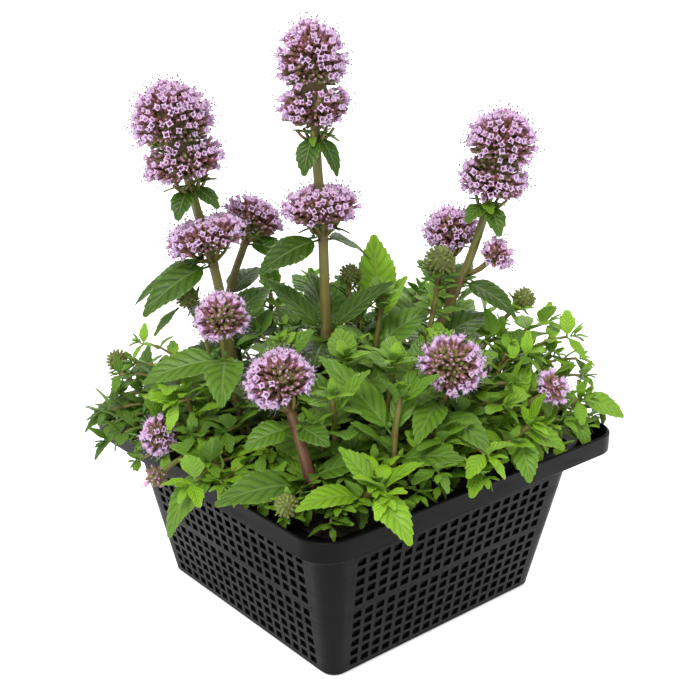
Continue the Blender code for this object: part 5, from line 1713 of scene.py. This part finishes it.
# How bright the leaves of each shoot are, from dark green to yellow-green
TONES = {
    "stem_left_tall": 0.08, "stem_left_short": 0.12, "stem_centre_tall": 0.08, "stem_right_tall": 0.14,
    "stem_right_short": 0.34, "stem_budding": 0.40, "stem_front_left": 0.32, "stem_front_centre": 0.30,
    "stem_front_right": 0.40, "shoot_front_middle": 0.48, "shoot_back_middle": 0.85,
    "shoot_front_corner": 0.80, "shoot_front_edge": 0.74, "shoot_left_hanging": 0.62,
    "shoot_left_bright": 0.80, "shoot_left_corner": 0.40, "shoot_left_low": 0.60,
    "shoot_right_hanging": 0.74, "shoot_right_corner": 0.76, "shoot_right_flowering": 0.74,
    "shoot_right_budding": 0.66, "shoot_centre_budding": 0.55, "shoot_back_bright": 0.70,
}
USUAL_TONE = 0.52
# How red the stems are
REDNESS = {"stem_front_centre": 0.95, "stem_front_right": 0.35, "stem_left_short": 0.3,
           "stem_right_tall": 0.3}


def bud_spots(centre, radius, tone, rng):
    """Closed calyces all round a young bud head."""
    spots = []
    number = round(18 + 10 * radius)
    for k in range(number):
        z = 1 - 1.85 * (k + 0.5) / number
        angle = GOLDEN_ANGLE * k
        flat = math.sqrt(1 - z * z)
        out = Vector((flat * math.cos(angle), flat * math.sin(angle), z))
        size = 0.54 + radius * 0.03
        spots.append((centre + out * (radius - 3.0 * size), out, size * rng.uniform(0.9, 1.12), -1.0,
                      rng.uniform(0.72, 1.0), tone * 0.6 + rng.uniform(-0.1, 0.5)))
    return spots


def ball(centre, radius):
    """A coarse ball's points and faces."""
    bm = bmesh.new()
    bmesh.ops.create_icosphere(bm, subdivisions=2, radius=radius)
    bm.verts.index_update()
    points = [vertex.co + centre for vertex in bm.verts]
    faces = [tuple(vertex.index for vertex in face.verts) for face in bm.faces]
    bm.free()
    return points, faces


def add_sepals(gathered, centre, axis, radius, tone, rng, number=5):
    """Small pointed leaves that cup a bud from below."""
    axes = cross_axes(axis)
    start = rng.uniform(0, math.tau)
    for k in range(number):
        angle = start + math.tau * k / number + rng.uniform(-0.25, 0.25)
        out = spoke(axes, angle)
        root = centre - axis * radius * 0.8 + out * 0.6
        tip = root + (out * 1.5 + axis * rng.uniform(-0.15, 0.6)) * radius
        add_leaf(gathered, Blade(root, tip, radius * 0.78, -25, rng.uniform(-15, 15)), tone, rng.random())


def flower_mesh(spots, tree, protos):
    return run_tree(spots_mesh(spots), tree, **protos, Spread=0.05, Calyx_finish=finish("calyx"),
                    Floret_finish=finish("floret"), Stamen_finish=finish("stamen"))


def build_foliage():
    """Fine stems and leaves for every leafy node."""
    protos = head_prototypes()
    tree = head_tree()
    for name, branches in plan().items():
        rng = random.Random(name)
        leafy = Gathered()
        tone = TONES.get(name, USUAL_TONE)
        buds = []
        for stem, leaves, radius in branches:
            add_stem(leafy, stem, sorted({height for height, _ in leaves}), REDNESS.get(name, 0.12))
            for height, blade in leaves:
                lifted = min((blade.tip.z - 120) / 400, 0.04)
                add_leaf(leafy, blade, tone + lifted + rng.uniform(-0.05, 0.05), rng.random())
            if radius:
                centre = stem.curve[-1] + Vector((0, 0, radius * BUD_RISE))
                buds.extend(bud_spots(centre, radius, tone, rng))
                leafy.add(*ball(centre, radius * BUD_CORE), 0.05, 2, green=0.9)
                add_sepals(leafy, centre, stem.along(stem.reach[-1]), radius, tone + 0.1, rng)
        mesh = leafy.mesh("leafy_" + name, [finish("leaf"), finish("stem"), finish("calyx")])
        if buds:
            mesh = joined("leafy_" + name, [mesh, flower_mesh(buds, tree, protos)])
        add_piece("leafy_" + name, mesh, "foliage", name)
    bpy.data.batch_remove(protos.values())


def build_heads():
    """Every flower head and whorl, floret by floret."""
    protos = head_prototypes()
    tree = head_tree()
    places = {}
    for name, (kind, shoot, number, radius, height) in HEADS.items():
        curve = plan()[shoot][number][0].curve
        places[name] = (kind, curve[-2], (curve[-1] - curve[-2]).normalized(), radius, height)
    for name, (shoot, z, radius, height) in WHORLS.items():
        stem = plan()[shoot][0][0]
        reach = stem.reach_at_height(z)
        axis = stem.along(reach)
        places[name] = ("whorl", stem.at(reach) - axis * height / 2, axis, radius, height)
    for name, (kind, foot, axis, radius, height) in places.items():
        rng = random.Random(name)
        spots = head_spots(name, kind, foot, axis, radius, height, rng)
        body = Gathered()
        body.add(*core_solid(kind, foot, axis, radius, height, 2.4), 0.1, 2, green=0.45)
        if kind == "whorl" or radius > 14:
            add_peduncles(body, foot, axis, radius, rng)
            add_bracts(body, foot, axis, radius, rng)
        meshes = [body.mesh(name, [finish("leaf"), finish("stem"), finish("calyx")]),
                  flower_mesh(spots, tree, protos)]
        slot = "faded_flowers" if name == "head_left_fading" else "lilac_flowers"
        add_piece("fine_" + name, joined("fine_" + name, meshes), slot, name)
    bpy.data.batch_remove(protos.values())


def build_basket():
    """The mesh basket: rim, shelf, bands and corners with panels of square holes between them."""
    layout = bpy.context.scene.mint_layout
    tree = panel_tree()
    meshes = [plain_mesh("basket_frame", basket_frame(), finish("plastic"), 35)]
    for quarter in range(4):
        for low, high, rows in ((MESH_LOW, MESH_MIDDLE, layout.rows_low),
                                (MESH_MIDDLE, MESH_HIGH, layout.rows_high)):
            meshes.append(panel(tree, layout, low, high, rows, quarter))
    half = (BASE_SIDE / 2 - FLOOR_EDGE) * MM
    floor = run_tree(empty_mesh(), tree, Columns=FLOOR_HOLES, Rows=FLOOR_HOLES, Bar_share=layout.bar_share,
                     Low_half=half, High_half=half, Height=2 * half, Thickness=FLOOR * MM,
                     Finish=finish("plastic"))
    floor.transform(Matrix.Translation((0, -half, 0)))
    meshes.append(floor)
    add_piece("basket_mesh", joined("basket_mesh", meshes), "basket_plastic", "basket")


def build_compost():
    """The compost's finish, with loose crumbs on its top."""
    soil = NODES["soil"]
    soil.data.materials.clear()
    soil.data.materials.append(finish("compost"))
    layout = bpy.context.scene.mint_layout
    crumb = bmesh.new()
    bmesh.ops.create_icosphere(crumb, subdivisions=1, radius=1.0 * MM)
    rng = random.Random(layout.seed)
    for vertex in crumb.verts:
        vertex.co *= rng.uniform(0.65, 1.2)
    proto = prototype("proto_crumb", baked("crumb", crumb))
    top = bmesh.new()
    top.from_mesh(soil.data)
    hidden = [face for face in top.faces
              if face.normal.z <= 0.9 or face.calc_center_median().z <= (SOIL_TOP - 2) * MM]
    bmesh.ops.delete(top, geom=hidden, context="FACES")
    mesh = run_tree(baked("compost_top", top), crumb_tree(), Prototype=proto, Density=layout.crumbs,
                    Finish=finish("compost"))
    bpy.data.objects.remove(proto)
    add_piece("compost_crumbs", mesh, "soil")


# Where rosettes of small leaves stand: (r, n, z), length of the outer leaves, pairs and tone
ROSETTES = [
    (84, 15, 126, 12, 4, 0.95), (70, 0, 130, 14, 3, 0.7), (96, -15, 133, 14, 3, 0.75),
    (108, -10, 128, 13, 3, 0.75), (87, 5, 126, 8, 3, 0.5), (113, 5, 113, 11, 3, 0.55),
    (110, 15, 104, 12, 3, 0.7), (68, -20, 136, 14, 2, 0.6), (45, -15, 136, 13, 3, 0.5),
    (52, -25, 136, 11, 3, 0.55), (99, 28, 85, 9, 3, 0.8), (58, 76, 103, 15, 3, 0.85),
    (73, 36, 120, 13, 3, 0.7), (68, 50, 115, 12, 3, 0.65), (92, 25, 112, 12, 3, 0.6),
    (56, 30, 117, 14, 3, 0.45), (-99, 10, 131, 9, 3, 0.85), (-103, 15, 123, 8, 3, 0.5),
    (-82, 40, 122, 16, 2, 0.75), (-113, 30, 90, 13, 3, 0.25), (-96, 48, 88, 9, 3, 0.6),
    (-67, 80, 92, 15, 3, 0.85), (-77, 50, 117, 13, 3, 0.85), (-111, 12, 116, 8, 2, 0.35),
    (-76, 28, 125, 8, 3, 0.45), (-33, 68, 103, 12, 4, 0.85), (-21, 98, 92, 13, 2, 0.5),
    (-8, 108, 86, 11, 2, 0.55), (14, 108, 100, 15, 3, 0.9), (-44, -10, 129, 14, 3, 0.4),
    (6, -20, 134, 13, 3, 0.3), (-45, 45, 116, 13, 3, 0.5), (-54, 60, 107, 13, 3, 0.4),
    (0, 40, 114, 14, 3, 0.3), (39, 75, 109, 14, 3, 0.5), (32, 40, 114, 14, 3, 0.35),
    (-22, 60, 102, 13, 3, 0.45), (-2, 90, 102, 13, 3, 0.4), (36, 90, 102, 12, 3, 0.6),
    (13, 70, 111, 14, 3, 0.4), (-116, 15, 99, 11, 3, 0.3), (-88, 40, 104, 12, 3, 0.55),
    (92, 30, 97, 12, 3, 0.8), (124, 5, 95, 9, 2, 0.7), (47, 62, 92, 13, 3, 0.6), (57, 72, 92, 12, 3, 0.7),
    (74, 50, 92, 12, 3, 0.75), (86, 42, 95, 11, 3, 0.8), (31, 72, 94, 14, 3, 0.55),
    (7, 76, 96, 13, 3, 0.45), (22, 64, 100, 14, 3, 0.45), (-66, 54, 92, 14, 3, 0.6),
    (-54, 80, 92, 12, 3, 0.7), (-46, 72, 94, 13, 3, 0.55), (-35, 92, 92, 12, 3, 0.7),
    (-94, 36, 92, 12, 3, 0.5), (-106, 34, 95, 11, 3, 0.4), (-82, 48, 92, 12, 3, 0.65),
    (-75, 36, 97, 13, 3, 0.55), (-64, 30, 100, 13, 3, 0.45), (-17, 96, 92, 12, 3, 0.6),
    (-5, 102, 92, 12, 3, 0.6), (-46, 88, 90, 10, 3, 0.7), (3, 100, 93, 12, 3, 0.7),
    (-36, 50, 108, 18, 3, 0.35), (-9, 58, 106, 18, 3, 0.35), (-23, 26, 116, 17, 3, 0.3),
    (-55, 16, 112, 16, 3, 0.35), (20, 50, 110, 18, 3, 0.3), (50, 50, 110, 17, 3, 0.4),
    (0, 76, 102, 16, 3, 0.35), (31, 24, 120, 18, 3, 0.3), (69, 42, 100, 13, 3, 0.6),
    (100, 26, 98, 12, 3, 0.75), (65, -4, 118, 15, 3, 0.5), (80, 28, 104, 13, 3, 0.6),
    (-93, 18, 108, 12, 3, 0.45), (-108, 8, 104, 11, 3, 0.4), (-41, -25, 147, 8, 4, 0.95),
    (-83, 5, 153, 7, 4, 0.4), (-112, 18, 95, 12, 3, 0.35), (-122, 6, 95, 10, 3, 0.35),
    (-98, 30, 96, 12, 3, 0.5), (-86, 44, 95, 12, 3, 0.6), (100, -8, 119, 11, 3, 0.7),
    (92, -3, 117, 12, 3, 0.65), (112, -3, 119, 10, 3, 0.7), (80, 6, 118, 12, 3, 0.6),
    (28, 85, 90, 11, 3, 0.75), (37, 78, 91, 12, 3, 0.7), (20, 95, 90, 9, 3, 0.7), (112, 14, 91, 12, 3, 0.7),
    (119, 1, 91, 10, 3, 0.6), (-26, 104, 89, 9, 3, 0.6), (-32, 84, 94, 11, 3, 0.5),
]
# Leaves that stand by themselves: root and tip (r, n, z), width and tone
LONE_LEAVES = [
    ((-93, -7, 150), (-115, -12, 157), 10, 0.08), ((-82, 6, 148), (-93, 14, 136), 8, 0.35),
    ((-110, 12, 100), (-130, 10, 91), 11, 0.25), ((-104, 24, 98), (-119, 32, 84), 11, 0.35),
]


def leafy_shoot(rng, base, top, bow, rosette, leaf_length, clearance, must_clear):
    """A short shoot's stem, and the leaves that find room on it, or None where the stem finds none."""
    curve = [base, base.lerp(top, 0.33) + bow * 0.8, base.lerp(top, 0.68) + bow, top]
    stem = Stem(curve, *SHOOT_THICKNESS)
    foot = base.lerp(curve[1], min(3.0 / (curve[1].z - base.z), 0.9))
    tube = stem_tube(Stem([foot, *curve[1:]], *SHOOT_THICKNESS))
    tree = clearance.is_free(*tube)
    if tree:
        clearance.add(tube[0], tree)
    elif must_clear:
        return None
    blades = tuft(rng, top, stem.along(stem.reach[-1]), *rosette)
    turn = rng.uniform(0, math.pi)
    for node, share in enumerate((0.88, 0.72, 0.54, 0.36)):
        middle = stem.at(stem.reach[-1] * share)
        if middle.z < SOIL_TOP + 6:
            continue
        length = leaf_length * rng.uniform(0.8, 1.2)
        for half_turn in (0, 1):
            heading = turn + math.pi / 2 * node + math.pi * half_turn + rng.uniform(-0.3, 0.3)
            lift = math.radians(rng.uniform(5, 38))
            blades.append(Blade(middle, middle + direction(heading, lift) * length,
                                length * rng.uniform(0.52, 0.64), rng.uniform(15, 45), rng.uniform(-10, 10)))
    settled = [blade for blade in (settle(blade, clearance) for blade in blades) if blade]
    return stem, settled


def rosette_shoots(clearance):
    """Shoots that end in the rosettes, each from the soil below it: (stem, blades, tone)."""
    made = []
    for r, n, z, length, pairs, tone in ROSETTES:
        rng = random.Random(r * 1000 + n)
        top = to_world(r, n, z)
        share = min(0.8, (FILL_HALF - 2) / max(abs(top.x), abs(top.y), 1.0))
        base = Vector((top.x * share, top.y * share, SOIL_TOP - 2))
        bow = Vector((-base.x, -base.y, 0)) * 0.08 + Vector((0, 0, 8 + 0.08 * (z - SOIL_TOP)))
        shoot = leafy_shoot(rng, base, top, bow, (length * 1.2, pairs), length * 1.15, clearance, False)
        made.append((*shoot, tone + 0.06))
    return made


def small_shoots(clearance, layout):
    """Short leafy shoots between all the others: (stem, blades, tone) of each."""
    made = []
    index = 0
    while len(made) < layout.shoots and index < layout.shoots * 30:
        rng = random.Random(layout.seed * 1000 + index)
        index += 1
        spread = 2 * (FILL_HALF + 3)
        base = Vector((*[((index * step) % 1.0 - 0.5) * spread for step in EVEN_STEPS], SOIL_TOP - 2))
        out = Vector((base.x, base.y, 0)).normalized()
        distance = max(abs(base.x), abs(base.y)) / FILL_HALF
        height = (MIDDLE_HEIGHT + (EDGE_HEIGHT - MIDDLE_HEIGHT) * distance ** 1.5) * rng.uniform(0.55, 1.15)
        lean = (0.12 + 0.75 * distance ** 2) * height
        top = base + out * lean + Vector((-out.y, out.x, 0)) * rng.uniform(-0.2, 0.2) * height
        top.z += height
        shoot = leafy_shoot(rng, base, top, -out * lean * 0.15, (rng.uniform(9, 14), 3), rng.uniform(11, 18),
                            clearance, index < layout.shoots * 10)
        if shoot and len(shoot[1]) > 4:
            bright = 0.40 + 0.25 * distance + 0.12 * (base.x + base.y) / 100 + rng.uniform(-0.12, 0.12)
            made.append((*shoot, bright))
    return made


# Shares of a stem's length where small leaves stand all round it
TUFTED = {"stem_budding": (0.93, 0.85, 0.77, 0.69, 0.61), "shoot_right_budding": (0.9, 0.8, 0.7)}


def stood_off(blade, distance):
    """The same leaf, moved outwards along itself."""
    out = (blade.tip - blade.root).normalized() * distance
    return Blade(blade.root + out, blade.tip + out, blade.width, math.degrees(blade.bend),
                 math.degrees(blade.roll))


def axil_tufts(clearance):
    """Small leaves in the angles between the named stems and their leaves: (no stem, blades, tone)."""
    made = []
    for name, branches in plan().items():
        rng = random.Random(name + " axils")
        for number, (stem, leaves, radius) in enumerate(branches):
            blades = []
            if not radius and not peg_length(name, number):
                blades = tuft(rng, stem.curve[-1], stem.along(stem.reach[-1]), rng.uniform(10, 13), 4)
            for share in TUFTED.get(name, ()) if number == 0 else ():
                reach = stem.reach[-1] * share
                blades.extend([stood_off(blade, stem.half(reach) + 0.8) for blade in tuft(
                    rng, stem.at(reach), stem.along(reach), rng.uniform(7, 9), 2, 10.0, 30.0)])
            for height, blade in leaves:
                along = stem.along(stem.reach_at_height(height))
                out = (blade.tip - blade.root).normalized()
                axis = (along + out * 0.9).normalized()
                blades.extend(tuft(rng, blade.root + axis * 2.0, axis, rng.uniform(6, 11), 2))
            settled = [blade for blade in (settle(blade, clearance) for blade in blades) if blade]
            made.append((None, settled, TONES.get(name, USUAL_TONE) + 0.12))
    return made


def stem_tube(stem):
    """A coarse three-sided tube round a stem, for keeping others clear of it."""
    points = []
    for i, place in enumerate(stem.curve):
        axes = cross_axes(stem.along(stem.reach[i]))
        half = stem.half(stem.reach[i])
        points.extend([tuple(place + spoke(axes, angle) * half) for angle in (0.5, 2.6, 4.7)])
    return points, tube_faces(len(stem.curve), 3, capped=False)


def build_small_shoots():
    """Short shoots that close the gaps between the named ones, in four pieces by side."""
    layout = bpy.context.scene.mint_layout
    clearance = Clearance(sorted(NODES))
    quarters = {side: Gathered() for side in SIDES}
    lone = []
    plan()
    for blade, tone in (*[(blade, TONES.get(name, USUAL_TONE)) for name, blade in MISSED],
                        *[(Blade(to_world(*root), to_world(*tip), width, 20, 0), tone)
                          for root, tip, width, tone in LONE_LEAVES]):
        settled = settle(blade, clearance)
        if settled:
            lone.append((None, [settled], tone))
    for stem, blades, tone in [*lone, *rosette_shoots(clearance), *axil_tufts(clearance),
                               *small_shoots(clearance, layout)]:
        if not blades:
            continue
        place = stem.curve[0] if stem else blades[0].root
        turned = (math.degrees(math.atan2(place.y, place.x)) + 360 - FIRST_HEADING) % 360
        leafy = quarters[SIDES[int(turned // 90)]]
        if stem:
            add_stem(leafy, stem, (), 0.08, spacing=8.0)
        rng = random.Random(round(place.x * 7 + place.y))
        for blade in blades:
            add_leaf(leafy, blade, tone + (blade.tip.z - 105) / 300, rng.random())
    for side, leafy in quarters.items():
        name = "small_shoots_" + side
        add_piece(name, leafy.mesh(name, [finish("leaf"), finish("stem")]), "foliage")


def build_drops():
    """Water drops on the upper sides of the larger leaves."""
    layout = bpy.context.scene.mint_layout
    rng = random.Random(layout.seed + 5)
    places = []
    for name in plan():
        mesh = bpy.data.objects["leafy_" + name].data
        under = np.empty(len(mesh.polygons))
        mesh.attributes["under"].data.foreach_get("value", under)
        places.extend([(face.center.copy(), face.normal.copy()) for face, below in zip(mesh.polygons, under)
                       if not below and face.material_index == 0 and face.normal.z > DROP_SLOPE
                       and face.area > DROP_AREA])
    chosen = rng.sample(places, min(layout.drops, len(places)))
    spots = [(centre / MM, normal, rng.uniform(0.35, 1.0), 0.0, 0.0, 0.0) for centre, normal in chosen]
    bead = bmesh.new()
    bmesh.ops.create_uvsphere(bead, u_segments=12, v_segments=8, radius=1.05 * MM)
    for vertex in bead.verts:
        vertex.co.z = vertex.co.z * 0.62 + 0.38 * MM
    shape = baked("drop", bead)
    shape.polygons.foreach_set("use_smooth", [True] * len(shape.polygons))
    proto = prototype("proto_drop", shape)
    mesh = run_tree(spots_mesh(spots), scatter_tree(), Prototype=proto, Finish=finish("water"))
    bpy.data.objects.remove(proto)
    add_piece("water_drops", mesh, "foliage")


# ---------------------------------------------------------------- stage

CAMERA_PLACE = (0.4037, -0.3404, 0.3034)
CAMERA_AIM = (-0.0006, -0.0007, 0.1255)
CAMERA_LENS = 58.84


def add_sun(name, place, strength, spread):
    """A wide, soft sun that shines from a place towards the middle of the floor."""
    sun = bpy.data.lights.new(name, "SUN")
    sun.energy = strength
    sun.angle = math.radians(spread)
    item = placed(name, sun)
    item.location = place
    item.rotation_euler = Vector(place).to_track_quat("Z", "Y").to_euler()


def build_stage():
    """Pale floor, soft lamps, pale surroundings and the camera."""
    scene = bpy.context.scene
    layout = scene.mint_layout
    wide, low = 40.0, -0.00005
    floor = bpy.data.meshes.new("floor")
    floor.from_pydata([(-wide, -wide, low), (wide, -wide, low), (wide, wide, low), (-wide, wide, low)], [],
                      [(0, 1, 2, 3)])
    scene.view_settings.view_transform = "Standard"
    material, w, shader = start_material("pale_floor", 0.9, Specular_IOR_Level=0.1)
    shader.inputs["Base Color"].default_value = (0.90, 0.90, 0.90, 1.0)
    shader.inputs["Emission Color"].default_value = (1.0, 1.0, 1.0, 1.0)
    shader.inputs["Emission Strength"].default_value = 0.45
    floor.materials.append(material)
    placed("floor", floor)
    world = bpy.data.worlds.new("studio")
    world.use_nodes = True
    sky = Wiring(world.node_tree)
    background = world.node_tree.nodes["Background"]
    sky.put(background.inputs["Color"], (1.0, 1.0, 1.0, 1.0))
    seen = sky.node("ShaderNodeLightPath").outputs["Is Camera Ray"]
    sky.put(background.inputs["Strength"], sky.math("MAXIMUM", seen, layout.surroundings))
    scene.world = world
    add_sun("lamp_key", (0.55, -0.85, 1.10), layout.lamp, 22.0)
    add_sun("lamp_rim", (-0.45, 0.60, 0.75), layout.lamp * 0.45, 30.0)
    camera = bpy.data.cameras.new("camera")
    camera.lens = CAMERA_LENS
    camera.sensor_width = 36.0
    holder = placed("camera", camera)
    holder.location = CAMERA_PLACE
    way = Vector(CAMERA_AIM) - Vector(CAMERA_PLACE)
    holder.rotation_euler = way.to_track_quat("-Z", "Y").to_euler()
    scene.camera = holder


# ---------------------------------------------------------------- operators and panel

class MINT_OT_basket(bpy.types.Operator):
    """Build the pond basket with its mesh sides"""
    bl_idname = "mint.basket"
    bl_label = "Basket"

    def execute(self, context):
        build_basket()
        return {"FINISHED"}


class MINT_OT_compost(bpy.types.Operator):
    """Finish the compost and strew its crumbs"""
    bl_idname = "mint.compost"
    bl_label = "Compost"

    def execute(self, context):
        build_compost()
        return {"FINISHED"}


class MINT_OT_foliage(bpy.types.Operator):
    """Build the stems, leaves and buds of the named shoots"""
    bl_idname = "mint.foliage"
    bl_label = "Foliage"

    def execute(self, context):
        build_foliage()
        return {"FINISHED"}


class MINT_OT_small_shoots(bpy.types.Operator):
    """Fill the gaps between the named shoots with short ones"""
    bl_idname = "mint.small_shoots"
    bl_label = "Small shoots"

    def execute(self, context):
        build_small_shoots()
        return {"FINISHED"}


class MINT_OT_heads(bpy.types.Operator):
    """Build the flower heads and whorls"""
    bl_idname = "mint.heads"
    bl_label = "Flower heads"

    def execute(self, context):
        build_heads()
        return {"FINISHED"}


class MINT_OT_drops(bpy.types.Operator):
    """Put water drops on the leaves"""
    bl_idname = "mint.drops"
    bl_label = "Water drops"

    def execute(self, context):
        build_drops()
        return {"FINISHED"}


class MINT_OT_stage(bpy.types.Operator):
    """Build the floor, lamps and camera"""
    bl_idname = "mint.stage"
    bl_label = "Stage"

    def execute(self, context):
        build_stage()
        return {"FINISHED"}


OPERATORS = (MINT_OT_basket, MINT_OT_compost, MINT_OT_foliage, MINT_OT_small_shoots, MINT_OT_heads,
             MINT_OT_drops, MINT_OT_stage)


class MINT_PT_panel(bpy.types.Panel):
    """The settings and the steps, in order"""
    bl_idname = "MINT_PT_panel"
    bl_label = "Potted flowering mint"
    bl_space_type = "VIEW_3D"
    bl_region_type = "UI"
    bl_category = "Mint"

    def draw(self, context):
        for settings in (context.scene.mint_layout, context.scene.mint_colours):
            for key in settings.bl_rna.properties.keys():
                if key not in ("rna_type", "name"):
                    self.layout.prop(settings, key)
        for operator in OPERATORS:
            self.layout.operator(operator.bl_idname)


CLASSES = (MintColours, MintLayout, *OPERATORS, MINT_PT_panel)


def register():
    for item in CLASSES:
        bpy.utils.register_class(item)
    bpy.types.Scene.mint_colours = PointerProperty(type=MintColours)
    bpy.types.Scene.mint_layout = PointerProperty(type=MintLayout)


def unregister():
    del bpy.types.Scene.mint_layout
    del bpy.types.Scene.mint_colours
    for item in reversed(CLASSES):
        bpy.utils.unregister_class(item)


def main():
    register()
    for operator in OPERATORS:
        group, name = operator.bl_idname.split(".")
        getattr(getattr(bpy.ops, group), name)()


if __name__ == "__main__":
    main()
